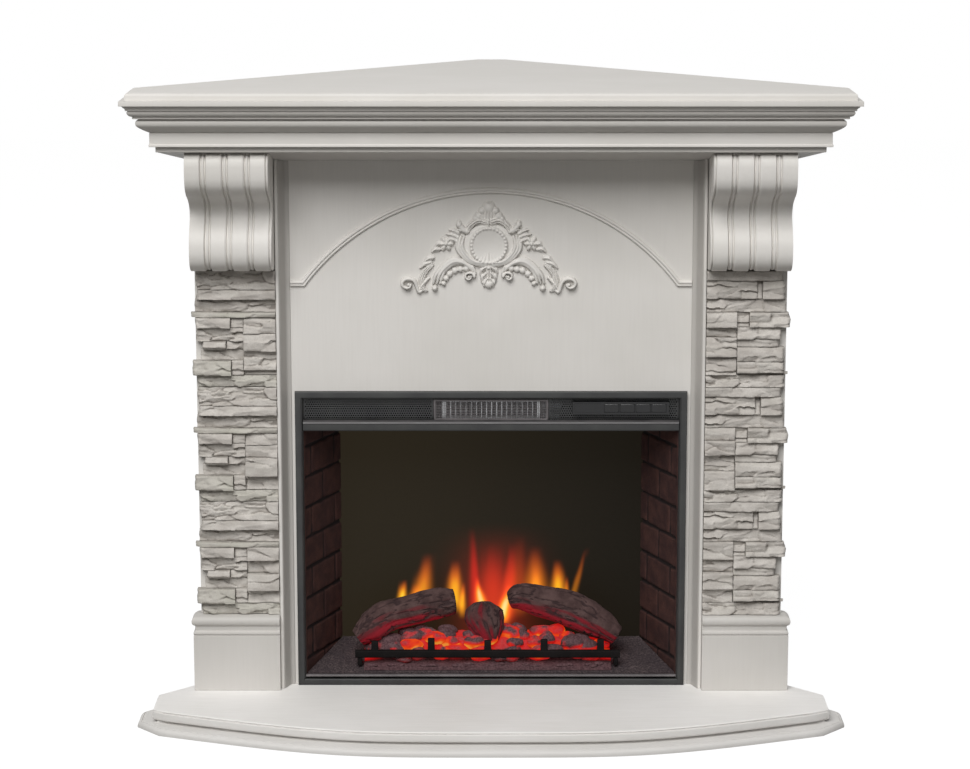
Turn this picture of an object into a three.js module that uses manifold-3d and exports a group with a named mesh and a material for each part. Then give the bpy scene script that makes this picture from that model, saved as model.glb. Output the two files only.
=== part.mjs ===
// Corner electric fireplace: a painted surround with stone-clad columns, a bow-fronted
// hearth and a built-in electric firebox with logs, flame spindle and fan heater.
// Millimetres, +Z up, the front faces -Y. While the pieces are made, y = 0 is the front
// face of the front panel and z = 0 the floor; the whole is then centred on its own plan.
import * as THREE from 'three';
import { mergeVertices } from 'three/addons/utils/BufferGeometryUtils.js';
import Module from 'manifold-3d';

const wasm = await Module();
wasm.setup();

// ---------------------------------------------------------------- driving dimensions
const gap = 0.3; // joint between pieces that are glued, screwed or stacked
const overallHeight = 1110;

// room corner: the walls lie on |x| + y = wallReach
const wallReach = 520;
const apexHalfWidth = 26; // flat that blunts the back corner
const wallClearance = 4; // side panels stand off the wall, measured along x
const wallTouch = 0.4; // boards that meet the wall stop this short of it

// shelf and cornice, from the top down
const shelfHalfWidth = 608;
const shelfFront = 187; // shelf nose in front of the panel
const shelfThickness = 12;
const shelfNoseRadius = 5;
const apronOverhang = 9; // fillet board proud of the shelf nose
const apronThickness = 8.2;
const friezeHalfWidth = 572;
const friezeFront = 151;
const friezeHeight = 24;
const friezeBoard = 18;
const friezeLip = 2;
const friezeLipHeight = 5;
const crownHeight = 47.9;
const crownTopOverhang = 34; // proud of the frieze
const crownFilletHeight = 6;
const crownStepOverhang = 17;
const crownStepHeight = 6;
const crownOvoloHeight = 14;
const bedHeight = 39.7; // bed strip and sloped soffit together
const bedStripHeight = 10;
const bedStripInset = 9;
const soffitInset = 12;

// hearth
const slabThickness = 16;
const skirtHeight = 18.7;
const hearthHalfWidth = 583;
const hearthFront = 274; // slab edge at the middle of the bow
const hearthCornerFront = 152; // slab edge at the front corners
const bowStraight = 250; // handle of the bow curve at the middle
const bowCornerHandle = 307; // and at the corners, measured along x
const slabNose = 7;
const skirtFlare = 34; // foot of the skirt, proud of the slab edge
const skirtStepHeight = 15.2;
const skirtWidth = 60; // from the foot of the skirt back to its inner face
const bowSteps = 14; // points in half of the bow

// front panel and columns
const panelThickness = 16;
const columnInner = 374;
const columnOuter = 515;
const coreThickness = 14;
const plinthOuter = 527;
const plinthFront = 42;
const plinthHeight = 101.4;
const capHeight = 34;
const capNoseHeight = 17;
const capNose = 3;
const capGroove = 3;
const capBeadHeight = 6;
const stonePanels = 3;
const stoneHeight = 205.6; // one cladding panel
const stoneBack = 5; // backing that the stones stand on
const stoneBackWidth = 128; // shorter than every stone, so their ends stay ragged
const stoneJoint = 0.6; // groove round each stone
const edgeStripInner = 350.5;
const edgeStripFlat = 364;
const edgeStripFront = 30;
const edgeStripSteps = 6;

// corbels
const corbelInner = 378;
const corbelOuter = 513;
const corbelFront = 138;
const corbelBands = 4;
const corbelGrooveWidth = 12.2;
const corbelGrooveDepth = 5;
const corbelSteps = 26;

// arch moulding and carved ornament on the panel
const archRadius = 415.6;
const archDrop = 47; // top of the arch below the bed moulding
const archHalfWidth = 330;
const archBand = 11;
const archThickness = 6;
const ornamentDrop = 101; // middle of the ornament below the top of the arch
const ornamentRing = 34;
const ornamentRelief = 12;

// electric firebox
const trimHalfWidth = 344.5;
const trimHeight = 535;
const trimSide = 13;
const trimBottomBar = 11;
const trimDepth = 9.7;
const caseHalfWidth = 332;
const caseDepth = 212;
const caseWall = 1.2;
const caseCornerDepth = 150; // where the case corners start to taper
const caseBackHalfWidth = 270;
const chamberHeight = 462; // case floor to the hood plate
const hoodPlate = 1.2;
const crossBarHeight = 11.6;
const crossBarDepth = 12;
const ledgeHeight = 2.4;
const ledgeDepth = 5;
const grilleThickness = 1.5;
const grilleFace = 4; // behind the panel plane
const guardHalfWidth = 101;
const guardDepth = 6;
const guardSlat = 2;
const guardSlats = 6;

// control panel, on the right of the grille
const controlLeft = 143.5;
const controlRight = 312.5;
const controlBottom = 530.2;
const controlTop = 552;
const controlFace = 9; // in front of the panel plane
const controlPlate = 2.5;
const controlWall = 2;
const boardThickness = 1.6;
const displayLeft = 147;
const displayWidth = 46;
const displayHeight = 16;
const displayThickness = 0.9;
const keyNames = ['key_power', 'key_flame', 'key_heater', 'key_timer'];
const keyPitch = 27.8;
const firstKey = 211.5;
const keyWidth = 25.4;
const keyHeight = 14.6;
const keyClearance = 0.4;
const keyFlange = 0.8;
const keyTravel = 1.2;

// firebox furniture
const screenFace = 150; // flame screen, behind the panel plane
const screenThickness = 3;
const brickThickness = 8;
const floorFront = 55;
const floorBack = 80;
const floorThickness = 4;
const fireShift = -6; // the log set sits a little left of the middle
const grateFront = 18; // behind the panel plane
const grateTop = 91;
const grateBarHeight = 14;
const grateBarDepth = 10;
const grateHalfWidth = 238;
const grateUprights = 5;
const grateUprightSpacing = 101.4;
const grateUprightWidth = 11;
const grateUprightReach = 22; // above the bar
const grateLeg = 12;
const grateFootLength = 27;
const grateFootHeight = 6;
const logRadius = 23;
const logOuter = 232; // centre of an outer end, from the middle of the log set
const logLow = 101; // its height
const logFront = 59; // and its depth behind the panel plane
const logBack = 91; // depth of the raised inner ends
const leftLogInner = 65;
const leftLogHigh = 160;
const rightLogInner = 39;
const rightLogHigh = 169;
const stumpFootRadius = 16;
const stumpRadius = 29;
const stumpLean = -6;
const stumpFoot = 46; // behind the panel plane
const stumpBack = 82;
const stumpHigh = 151;
const emberHalfWidth = 222;
const emberFront = 10; // behind the panel plane
const emberBack = 108;
const emberThickness = 9;
const emberHeap = 46; // height of the coals heaped under the logs
const emberWindowHalf = 190; // hole in the floor that lets light up into the coals
const emberWindowFront = 42;
const emberWindowBack = 98;
const emberPocketTop = 85;

// lighting and heater
const flameBoardHalf = 230;
const flameBoardFront = 158; // behind the panel plane
const flameBoardDepth = 42;
const flameLamps = 10;
const emberBoardHalf = 200;
const emberLamps = 8;
const lampSize = 5;
const lampHeight = 2;
const spindleHeight = 118;
const spindleAxis = 181; // behind the panel plane
const spindleRadius = 3;
const spindleVanes = 13;
const spindleVaneReach = 15;
const spindleEnd = 250;
const bracketPlate = 3;
const bracketHalf = 12; // bracket above and beside the spindle's axis
const inletX = 214;
const inletZ = 84;
const inletHalf = 15;
const inletTall = 11;
const inletWall = 3;
const inletEar = 9; // fixing ear beside the socket
const inletDepth = 16;
const fanAxisHeight = 529;
const fanAxis = 78; // behind the panel plane
const fanRadius = 21;
const fanHalfLength = 84;
const fanBlades = 14;
const fanShaft = 3;
const shaftClearance = 0.4;

// ---------------------------------------------------------------- heights that follow
const apronTop = overallHeight - shelfThickness - gap;
const crownTop = apronTop - apronThickness - gap;
const friezeTop = crownTop - crownHeight - gap;
const bedTop = friezeTop - friezeHeight - gap;
const bedBottom = bedTop - bedHeight;
const archTop = bedBottom - archDrop;
const ornamentCentre = archTop - ornamentDrop;
const hearthTop = skirtHeight + gap + slabThickness;
const standing = hearthTop + gap;
const capBottom = standing + plinthHeight + gap;
const stoneBottom = capBottom + capHeight + gap;
const corbelBottom = stoneBottom + stonePanels * stoneHeight + gap;
const trimBottom = standing;
const trimTop = trimBottom + trimHeight;
const caseFloor = standing + caseWall;
const hoodBottom = caseFloor + chamberHeight;
const caseTop = trimTop - trimSide + caseWall;
const crossBarTop = hoodBottom + hoodPlate + crossBarHeight;
const grilleBottom = crossBarTop + ledgeHeight + gap;
const grilleTop = trimTop - trimSide - gap;
const coreFront = coreThickness + gap;

// ---------------------------------------------------------------- materials
const finish = (color, roughness, metalness = 0) =>
  new THREE.MeshStandardMaterial({ color, roughness, metalness });
const paint = finish(0xd2cec8, 0.45);
const stone = finish(0xb9b4ad, 0.85);
const board = finish(0xb59a72, 0.8);
const blackSteel = finish(0x2c2d2c, 0.4, 0.6);
const darkGloss = finish(0x14161a, 0.15);
const brick = finish(0x4a2f27, 0.9);
const charred = finish(0x4b3a31, 0.9);
const ember = finish(0xe2521a, 0.6);
const ash = finish(0x6d6864, 0.95);
const smoked = finish(0x1b1613, 0.2);
const bare = finish(0xb8babd, 0.3, 0.9);
const motorShell = finish(0x8f9296, 0.4, 0.8);
const circuit = finish(0x1f5a34, 0.5);
const moulded = finish(0x1d1d1f, 0.5);

// ---------------------------------------------------------------- shape helpers
function toSolid(geometry) {
  const plain = geometry.clone();
  plain.deleteAttribute('normal');
  plain.deleteAttribute('uv');
  const merged = mergeVertices(plain, 1e-4);
  return new wasm.Manifold(new wasm.Mesh({
    numProp: 3,
    vertProperties: new Float32Array(merged.attributes.position.array),
    triVerts: new Uint32Array(merged.index.array),
  }));
}

function toGeometry(solid) {
  const mesh = solid.getMesh();
  const geometry = new THREE.BufferGeometry();
  geometry.setAttribute('position', new THREE.BufferAttribute(new Float32Array(mesh.vertProperties), 3));
  geometry.setIndex(new THREE.BufferAttribute(new Uint32Array(mesh.triVerts), 1));
  geometry.computeVertexNormals();
  return geometry;
}

function join(...geometries) {
  return toGeometry(geometries.map(toSolid).reduce((whole, piece) => whole.add(piece)));
}

function cut(body, ...tools) {
  return toGeometry(tools.map(toSolid).reduce((rest, tool) => rest.subtract(tool), toSolid(body)));
}

function block(x0, x1, y0, y1, z0, z1) {
  const box = new THREE.BoxGeometry(x1 - x0, y1 - y0, z1 - z0);
  return box.translate((x0 + x1) / 2, (y0 + y1) / 2, (z0 + z1) / 2);
}

// extrudes a shape along an axis: 'z' from plan (x, y), 'y' from elevation (x, z), 'x' from side (y, z)
function extrude(shape, from, to, axis, curveSegments = 12) {
  const solid = new THREE.ExtrudeGeometry(shape, { depth: to - from, bevelEnabled: false, curveSegments });
  if (axis === 'z') return solid.translate(0, 0, from);
  const turn = new THREE.Matrix4();
  if (axis === 'x') turn.set(0, 0, 1, from, 1, 0, 0, 0, 0, 1, 0, 0, 0, 0, 0, 1);
  if (axis === 'y') turn.set(1, 0, 0, 0, 0, 0, -1, to, 0, 1, 0, 0, 0, 0, 0, 1);
  return solid.applyMatrix4(turn);
}

const outline = (points) => new THREE.Shape(points.map(([a, b]) => new THREE.Vector2(a, b)));

// joins rings of equal point count into one closed body; the rings run anticlockwise
// about the direction from the first to the last, and flat() gives a ring's 2-D outline
function loft(rings, flat) {
  const count = rings[0].length;
  const positions = rings.flat(2);
  const index = [];
  for (let ring = 0; ring + 1 < rings.length; ring += 1) {
    for (let i = 0; i < count; i += 1) {
      const next = (i + 1) % count;
      const a = ring * count + i;
      const b = ring * count + next;
      index.push(a, b, b + count, a, b + count, a + count);
    }
  }
  const cap = (ring, facing) => {
    const contour = rings[ring].map((point) => new THREE.Vector2(...flat(point)));
    for (const [i, j, k] of THREE.ShapeUtils.triangulateShape(contour, [])) {
      const turn = THREE.ShapeUtils.area([contour[i], contour[j], contour[k]]) * facing;
      const start = ring * count;
      if (turn > 0) index.push(start + i, start + j, start + k);
      else index.push(start + k, start + j, start + i);
    }
  };
  cap(0, -1);
  cap(rings.length - 1, 1);
  const geometry = new THREE.BufferGeometry();
  geometry.setAttribute('position', new THREE.Float32BufferAttribute(positions, 3));
  geometry.setIndex(index);
  geometry.computeVertexNormals();
  return geometry;
}

// plan outlines stacked upwards: each layer is [outline points, height]
const stack = (layers) =>
  loft(layers.map(([points, z]) => points.map(([x, y]) => [x, y, z])), ([x, y]) => [x, y]);

// round bar along x between two ends
function barX(radius, x0, x1, y, z, sides = 16) {
  const bar = new THREE.CylinderGeometry(radius, radius, x1 - x0, sides);
  return bar.rotateZ(Math.PI / 2).translate((x0 + x1) / 2, y, z);
}

function mirrored(geometry) {
  const indexed = geometry.index ? geometry.clone() : mergeVertices(geometry);
  indexed.applyMatrix4(new THREE.Matrix4().makeScale(-1, 1, 1));
  const order = indexed.index.array;
  for (let i = 0; i < order.length; i += 3) [order[i], order[i + 2]] = [order[i + 2], order[i]];
  indexed.computeVertexNormals();
  return indexed;
}

// points on an arc, from one angle to another, in degrees
function arc(cx, cy, rx, ry, from, to, steps) {
  return Array.from({ length: steps + 1 }, (_, i) => {
    const angle = THREE.MathUtils.degToRad(from + ((to - from) * i) / steps);
    return [cx + rx * Math.cos(angle), cy + ry * Math.sin(angle)];
  });
}

const fireplace = new THREE.Group();
function add(name, geometry, material) {
  const mesh = new THREE.Mesh(geometry, material);
  mesh.name = name;
  fireplace.add(mesh);
  return mesh;
}

// a right-hand piece and its mirror image on the left
function addPair(name, geometry, material) {
  add(`${name}_right`, geometry, material);
  add(`${name}_left`, mirrored(geometry), material);
}

// ---------------------------------------------------------------- plan outlines
const wallY = (x) => wallReach - wallTouch - Math.abs(x);
const apexY = wallY(apexHalfWidth);

// whole board: straight front and sides, two wall edges and the blunt apex
const cornerBoard = (halfWidth, front) => [
  [-halfWidth, -front], [halfWidth, -front], [halfWidth, wallY(halfWidth)],
  [apexHalfWidth, apexY], [-apexHalfWidth, apexY], [-halfWidth, wallY(halfWidth)],
];

// strip along the front and both sides, open at the back
const wrapStrip = (halfWidth, front, innerHalfWidth, innerFront) => [
  [-halfWidth, -front], [halfWidth, -front], [halfWidth, wallY(halfWidth)],
  [innerHalfWidth, wallY(innerHalfWidth)], [innerHalfWidth, -innerFront],
  [-innerHalfWidth, -innerFront], [-innerHalfWidth, wallY(innerHalfWidth)],
  [-halfWidth, wallY(halfWidth)],
];

// bow front: each half is a cubic curve that leaves the middle square to y and reaches the
// corner at a slant; offset moves it outwards, square to the curve
function bowFront(offset) {
  const half = new THREE.CubicBezierCurve(
    new THREE.Vector2(0, -hearthFront),
    new THREE.Vector2(bowStraight, -hearthFront),
    new THREE.Vector2(hearthHalfWidth - bowCornerHandle, -hearthFront),
    new THREE.Vector2(hearthHalfWidth, -hearthCornerFront),
  );
  const right = [];
  for (let i = 0; i <= bowSteps; i += 1) {
    const point = half.getPoint(i / bowSteps);
    const along = half.getTangent(i / bowSteps);
    right.push([point.x + along.y * offset, point.y - along.x * offset]);
  }
  const cornerSlope = hearthCornerFront / hearthHalfWidth;
  right[bowSteps] = [hearthHalfWidth + offset, right[bowSteps][1] + offset * cornerSlope];
  const left = right.slice(1).reverse().map(([x, y]) => [-x, y]);
  return [...left, ...right];
}

// ---------------------------------------------------------------- hearth
function makeHearth() {
  const slabBottom = skirtHeight + gap;
  const slabLayer = (offset, z) => [[
    ...bowFront(offset), [hearthHalfWidth + offset, wallY(hearthHalfWidth + offset)],
    [apexHalfWidth, apexY], [-apexHalfWidth, apexY],
    [-hearthHalfWidth - offset, wallY(hearthHalfWidth + offset)],
  ], z];
  add('hearth_slab', stack([
    slabLayer(slabNose - 1, slabBottom),
    slabLayer(slabNose - 1, hearthTop - 11),
    slabLayer(slabNose, hearthTop - 8),
    slabLayer(slabNose - 1, hearthTop - 3),
    slabLayer(slabNose - 4, hearthTop - 1),
    slabLayer(0, hearthTop),
  ]), paint);

  const inner = skirtFlare - skirtWidth;
  const skirtLayer = (offset, z) => {
    const side = hearthHalfWidth + offset;
    const innerSide = hearthHalfWidth + inner;
    return [[
      ...bowFront(offset), [side, wallY(side)], [innerSide, wallY(innerSide)],
      ...bowFront(inner).reverse(), [-innerSide, wallY(innerSide)], [-side, wallY(side)],
    ], z];
  };
  add('hearth_skirt', stack([
    skirtLayer(skirtFlare, 0),
    skirtLayer(skirtFlare, skirtStepHeight * 0.7),
    skirtLayer(skirtFlare - 4, skirtStepHeight * 0.95),
    skirtLayer(slabNose + 10, skirtStepHeight),
    skirtLayer(slabNose + 3, skirtStepHeight + 1.5),
    skirtLayer(slabNose, skirtHeight),
  ]), paint);

  const baseInset = inner - gap;
  const baseSide = hearthHalfWidth + baseInset;
  add('hearth_base', stack([0, skirtHeight].map((z) => [[
    ...bowFront(baseInset), [baseSide, wallY(baseSide)],
    [apexHalfWidth, apexY], [-apexHalfWidth, apexY], [-baseSide, wallY(baseSide)],
  ], z])), board);
}

// ---------------------------------------------------------------- shelf and cornice
function makeShelf() {
  const bottom = overallHeight - shelfThickness;
  const nose = arc(0, 0, shelfNoseRadius, shelfNoseRadius, 0, 90, 4);
  add('shelf_top', stack([
    [cornerBoard(shelfHalfWidth - 1, shelfFront - 1), bottom],
    [cornerBoard(shelfHalfWidth, shelfFront), bottom + 2],
    ...nose.map(([out, up]) => [
      cornerBoard(shelfHalfWidth - shelfNoseRadius + out, shelfFront - shelfNoseRadius + out),
      overallHeight - shelfNoseRadius + up,
    ]),
  ]), paint);

  const apronLayer = (out, z) =>
    [cornerBoard(shelfHalfWidth + apronOverhang + out, shelfFront + apronOverhang + out), z];
  add('shelf_apron', stack([
    apronLayer(0, crownTop + gap),
    apronLayer(0, apronTop - 2),
    apronLayer(-2, apronTop),
  ]), paint);

  const innerWidth = friezeHalfWidth - friezeBoard;
  const innerFront = friezeFront - friezeBoard;
  const crownLayer = (out, z) =>
    [wrapStrip(friezeHalfWidth + out, friezeFront + out, innerWidth, innerFront), z];
  const crownBottom = friezeTop + gap;
  const ovoloTop = crownTop - crownFilletHeight;
  const stepTop = ovoloTop - crownOvoloHeight;
  const coveTop = stepTop - crownStepHeight;
  const ovoloReach = crownTopOverhang - crownStepOverhang - 4;
  const coveReach = crownStepOverhang - 4;
  const cove = arc(crownStepOverhang, crownBottom, coveReach, coveTop - crownBottom - 2, 180, 90, 4);
  const ovolo = arc(crownStepOverhang + 3, ovoloTop, ovoloReach, crownOvoloHeight, -90, 0, 4);
  add('crown_moulding', stack([
    ...cove.map(([out, z]) => crownLayer(out, z)),
    crownLayer(crownStepOverhang, coveTop),
    crownLayer(crownStepOverhang, stepTop - 0.5),
    ...ovolo.map(([out, z]) => crownLayer(out, z)),
    crownLayer(crownTopOverhang, ovoloTop + 0.5),
    crownLayer(crownTopOverhang, crownTop),
  ]), paint);

  const friezeBottom = bedTop + gap;
  const friezeLayer = (out, z) =>
    [wrapStrip(friezeHalfWidth + out, friezeFront + out, innerWidth, innerFront), z];
  add('frieze_board', stack([
    friezeLayer(friezeLip, friezeBottom),
    friezeLayer(friezeLip, friezeBottom + friezeLipHeight - 1),
    friezeLayer(0, friezeBottom + friezeLipHeight),
    friezeLayer(0, friezeTop),
  ]), paint);
}

// height of the sloped soffit at a distance in front of the panel
const soffitFoot = 4;
const soffitReach = friezeFront - soffitInset;
const soffitTop = bedTop - bedStripHeight;
const soffitAt = (out) =>
  bedBottom + ((soffitTop - bedBottom) * (out - soffitFoot)) / (soffitReach - soffitFoot);

// bed moulding: a level strip under the frieze, then a soffit that slopes back and down
// to the panel and is hipped at both ends
function makeBedMoulding() {
  const layer = (halfWidth, front, z) => {
    const side = Math.min(wallY(halfWidth), -gap);
    const shoulder = wallReach - wallTouch - gap;
    return [[
      [-halfWidth, -front], [halfWidth, -front], [halfWidth, side],
      [Math.min(shoulder, halfWidth - 0.2), -gap], [-Math.min(shoulder, halfWidth - 0.2), -gap],
      [-halfWidth, side],
    ], z];
  };
  const stripHalfWidth = friezeHalfWidth - bedStripInset;
  const stripFront = friezeFront - bedStripInset;
  add('bed_moulding', stack([
    layer(columnOuter + 2, soffitFoot, bedBottom),
    layer(friezeHalfWidth - soffitInset, soffitReach, soffitTop),
    layer(stripHalfWidth, stripFront, soffitTop + 0.5),
    layer(stripHalfWidth, stripFront, bedTop),
  ]), paint);
}

// ---------------------------------------------------------------- carcass
function makeCarcass() {
  const panelHalfWidth = wallReach - wallClearance - panelThickness - gap;
  const openingHalfWidth = caseHalfWidth + 2;
  const openingTop = caseTop + 2;
  const panelTop = crownTop;
  const panel = outline([
    [-panelHalfWidth, standing], [-openingHalfWidth, standing], [-openingHalfWidth, openingTop],
    [openingHalfWidth, openingTop], [openingHalfWidth, standing], [panelHalfWidth, standing],
    [panelHalfWidth, panelTop], [-panelHalfWidth, panelTop],
  ]);
  add('front_panel', extrude(panel, 0, panelThickness, 'y'), paint);

  // side panels lie along the room walls, at 45 degrees, and meet the back post
  const outer = wallReach - wallClearance;
  const sideBoard = 12;
  const inner = outer - sideBoard * Math.SQRT2;
  const back = panelThickness + gap;
  const postEnd = 44;
  const slant = outer - 2 * postEnd;
  addPair('side_panel', stack([standing, crownTop].map((z) => [[
    [inner - back, back], [outer - back, back],
    [postEnd, outer - postEnd], [(inner - slant) / 2, (inner + slant) / 2],
  ], z])), board);

  const joint = slant + gap * Math.SQRT2;
  const postOuter = [(outer - joint) / 2, (outer + joint) / 2];
  const postInner = [(inner - joint) / 2, (inner + joint) / 2];
  const postFace = postInner[1] - 15;
  add('back_post', stack([standing, crownTop].map((z) => [[
    [-postInner[0], postInner[1]], [-postInner[0] + 15, postFace], [postInner[0] - 15, postFace],
    postInner, postOuter, [apexHalfWidth, outer - apexHalfWidth],
    [-apexHalfWidth, outer - apexHalfWidth], [-postOuter[0], postOuter[1]],
  ], z])), board);
}

// ---------------------------------------------------------------- columns
// the upright joint that runs through the cladding, outwards from the column's inner edge
const jointLeft = 57;
const jointRight = 54;
// one stone of the cladding: from and to are measured outwards from the column's inner
// edge, top and foot down from the top of the panel, proud is the stone's thickness
const claddingLeft = [
  { top: 0, foot: 33, from: 0, to: 141, proud: 14 },
  { top: 33, foot: 50, from: 0, to: 140, proud: 19 },
  { top: 50, foot: 73, from: 0, to: 144, proud: 8 },
  { top: 73, foot: 82, from: 0, to: 149, proud: 15 },
  { top: 82, foot: 100, from: 79, to: 143, proud: 21 },
  { top: 82, foot: 100, from: jointLeft, to: 79, proud: 11 },
  { top: 100, foot: 124, from: jointLeft, to: 141, proud: 13 },
  { top: 124, foot: 138, from: 87, to: 132, proud: 20 },
  { top: 124, foot: 138, from: jointLeft, to: 87, proud: 10 },
  { top: 138, foot: 158, from: jointLeft, to: 136, proud: 7 },
  { top: 158, foot: 184, from: 78, to: 149, proud: 20 },
  { top: 158, foot: 184, from: jointLeft, to: 78, proud: 13 },
  { top: 184, foot: stoneHeight, from: 0, to: 142, proud: 12 },
];
const claddingLeftKeys = [
  [[82, 110, 15], [110, 141, 19], [141, 175, 12], [175, 184, 7]],
  [[82, 104, 11], [104, 125, 16], [125, 158, 22], [158, 184, 7]],
  [[82, 106, 17], [106, 130, 10], [130, 160, 20], [160, 184, 9]],
];
const claddingRight = [
  { top: 0, foot: 17, from: 0, to: 137, proud: 18 },
  { top: 17, foot: 49, from: 0, to: 88, proud: 14 },
  { top: 17, foot: 49, from: 88, to: 97, proud: 8 },
  { top: 17, foot: 49, from: 97, to: 139, proud: 18 },
  { top: 49, foot: 73, from: 0, to: 143, proud: 10 },
  { top: 73, foot: 99, from: jointRight, to: 75, proud: 8 },
  { top: 73, foot: 99, from: 75, to: 149, proud: 18 },
  { top: 99, foot: 120, from: jointRight, to: 135, proud: 15 },
  { top: 120, foot: 134, from: jointRight, to: 131, proud: 12 },
  { top: 134, foot: 160, from: jointRight, to: 140, proud: 16 },
  { top: 160, foot: 179, from: jointRight, to: 141, proud: 19 },
  { top: 179, foot: 184, from: jointRight, to: 146, proud: 7 },
  { top: 184, foot: stoneHeight, from: 0, to: 141, proud: 14 },
];
const claddingRightKeys = [
  [[73, 99, 21], [99, 117, 8], [117, 151, 18], [151, 184, 15]],
  [[73, 95, 12], [95, 121, 19], [121, 150, 9], [150, 184, 17]],
  [[73, 104, 16], [104, 128, 8], [128, 158, 20], [158, 184, 11]],
];

function claddingPanel(stones, keys, joint, panelTop) {
  const all = [
    ...stones,
    ...keys.map(([top, foot, proud]) => ({ top, foot, from: 0, to: joint, proud })),
  ];
  const back = -coreFront - gap;
  const foot = panelTop - stoneHeight + gap;
  const backing = block(
    columnInner, columnInner + stoneBackWidth, back - stoneBack, back, foot, panelTop,
  );
  const faces = all.map((s) => block(
    columnInner + s.from + stoneJoint, columnInner + s.to - stoneJoint, back - s.proud, back,
    Math.max(panelTop - s.foot, foot) + stoneJoint, panelTop - s.top - stoneJoint,
  ));
  return join(backing, ...faces);
}

function makeColumns() {
  const core = block(columnInner, columnOuter, -coreFront, -gap, stoneBottom, bedBottom - gap);
  addPair('column_core', core, paint);

  ['upper', 'middle', 'lower'].forEach((level, i) => {
    const top = corbelBottom - gap - i * stoneHeight;
    const left = claddingPanel(claddingLeft, claddingLeftKeys[i], jointLeft, top);
    add(`stone_left_${level}`, mirrored(left), stone);
    const right = claddingPanel(claddingRight, claddingRightKeys[i], jointRight, top);
    add(`stone_right_${level}`, right, stone);
  });

  // plinth block and moulded cap, cut back at the wall side
  const wallSide = wallReach - wallTouch;
  const footprint = (out) => [
    [columnInner, -plinthFront - out], [plinthOuter + out, -plinthFront - out],
    [plinthOuter + out, wallSide - plinthOuter - out], [wallSide - gap, -gap], [columnInner, -gap],
  ];
  addPair('plinth_block', stack([[footprint(0), standing], [footprint(0), capBottom - gap]]), paint);
  const grooveTop = capBottom + capHeight - capNoseHeight;
  const capTop = capBottom + capHeight;
  addPair('plinth_cap', stack([
    [footprint(-1.5), capBottom],
    [footprint(0), capBottom + 1.5],
    [footprint(0), capBottom + capBeadHeight],
    [footprint(-capGroove), capBottom + capBeadHeight + 2],
    [footprint(-capGroove), grooveTop],
    [footprint(capNose - 1.5), grooveTop + 3],
    [footprint(capNose), grooveTop + capNoseHeight / 2],
    [footprint(capNose - 1), capTop - 4],
    [footprint(-4), capTop],
  ]), paint);

  // rounded strip that closes the column's inner edge against the panel
  const round = arc(
    edgeStripFlat, -2, edgeStripFlat - edgeStripInner, edgeStripFront - 2, 180, 270, edgeStripSteps,
  );
  const strip = [
    [edgeStripInner, -gap], ...round, [columnInner - gap, -edgeStripFront], [columnInner - gap, -gap],
  ];
  addPair('edge_strip', stack([[strip, standing], [strip, bedBottom - gap]]), paint);
}

// ---------------------------------------------------------------- corbels
// side profile: distance in front of the panel against the share of the height between the
// stones and the soffit; a wide roll at the top, a waist, a belly and an under-curl
function corbelProfile(inset) {
  const back = coreFront + gap;
  const foot = corbelBottom + gap;
  const height = soffitAt(corbelFront) - gap - foot;
  const curve = new THREE.SplineCurve([
    [32, 0.005], [58, 0.056], [78, 0.13], [86, 0.231], [80, 0.342], [62, 0.448], [56, 0.564],
    [76, 0.675], [118, 0.739], [corbelFront - 3, 0.823], [corbelFront, 0.906], [corbelFront - 4, 0.98],
  ].map(([out, share]) => new THREE.Vector2(out, foot + share * height)));
  const front = curve.getPoints(corbelSteps)
    .map((point) => [Math.max(Math.min(point.x, corbelFront) - inset, back + 4), point.y]);
  const topOut = front[front.length - 1][0];
  return [
    [-back, foot], ...front.map(([out, z]) => [-out, z]),
    [-topOut, soffitAt(topOut) - gap], [-back, soffitAt(back) - gap],
  ];
}

function makeCorbels() {
  const width = corbelOuter - corbelInner;
  const grooves = corbelBands - 1;
  const band = (width - grooves * corbelGrooveWidth) / corbelBands;
  const rings = [];
  const ring = (x, inset) => rings.push(corbelProfile(inset).map(([y, z]) => [x, y, z]));
  let x = corbelInner;
  for (let i = 0; i < corbelBands; i += 1) {
    ring(x, 0);
    ring(x + band, 0);
    x += band;
    if (i < grooves) {
      const reed = corbelGrooveWidth / 4;
      ring(x + 0.6, corbelGrooveDepth);
      ring(x + reed, corbelGrooveDepth);
      ring(x + 2 * reed, corbelGrooveDepth / 2.5);
      ring(x + 3 * reed, corbelGrooveDepth);
      ring(x + corbelGrooveWidth - 0.6, corbelGrooveDepth);
      x += corbelGrooveWidth;
    }
  }
  // profile runs from the back, out and up, so it is reversed to face +x
  addPair('corbel', loft(rings.map((r) => r.reverse()), ([, y, z]) => [y, z]), paint);
}

// ---------------------------------------------------------------- panel decoration
function makeArch() {
  const centre = archTop - archRadius;
  const foot = Math.asin(archHalfWidth / archRadius);
  const outerR = archRadius;
  const innerR = archRadius - archBand;
  const shape = new THREE.Shape();
  const footOuter = edgeStripInner - 1;
  const footTop = centre + outerR * Math.cos(foot);
  shape.moveTo(footOuter, footTop - archBand);
  shape.lineTo(footOuter, footTop);
  shape.lineTo(outerR * Math.sin(foot), footTop);
  shape.absarc(0, centre, outerR, Math.PI / 2 - foot, Math.PI / 2 + foot, false);
  shape.lineTo(-footOuter, footTop);
  shape.lineTo(-footOuter, footTop - archBand);
  const innerFoot = Math.acos((footTop - archBand - centre) / innerR);
  shape.lineTo(-innerR * Math.sin(innerFoot), footTop - archBand);
  shape.absarc(0, centre, innerR, Math.PI / 2 + innerFoot, Math.PI / 2 - innerFoot, true);
  shape.closePath();
  add('arch_moulding', extrude(shape, -archThickness - gap, -gap, 'y', 32), paint);
}

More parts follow.
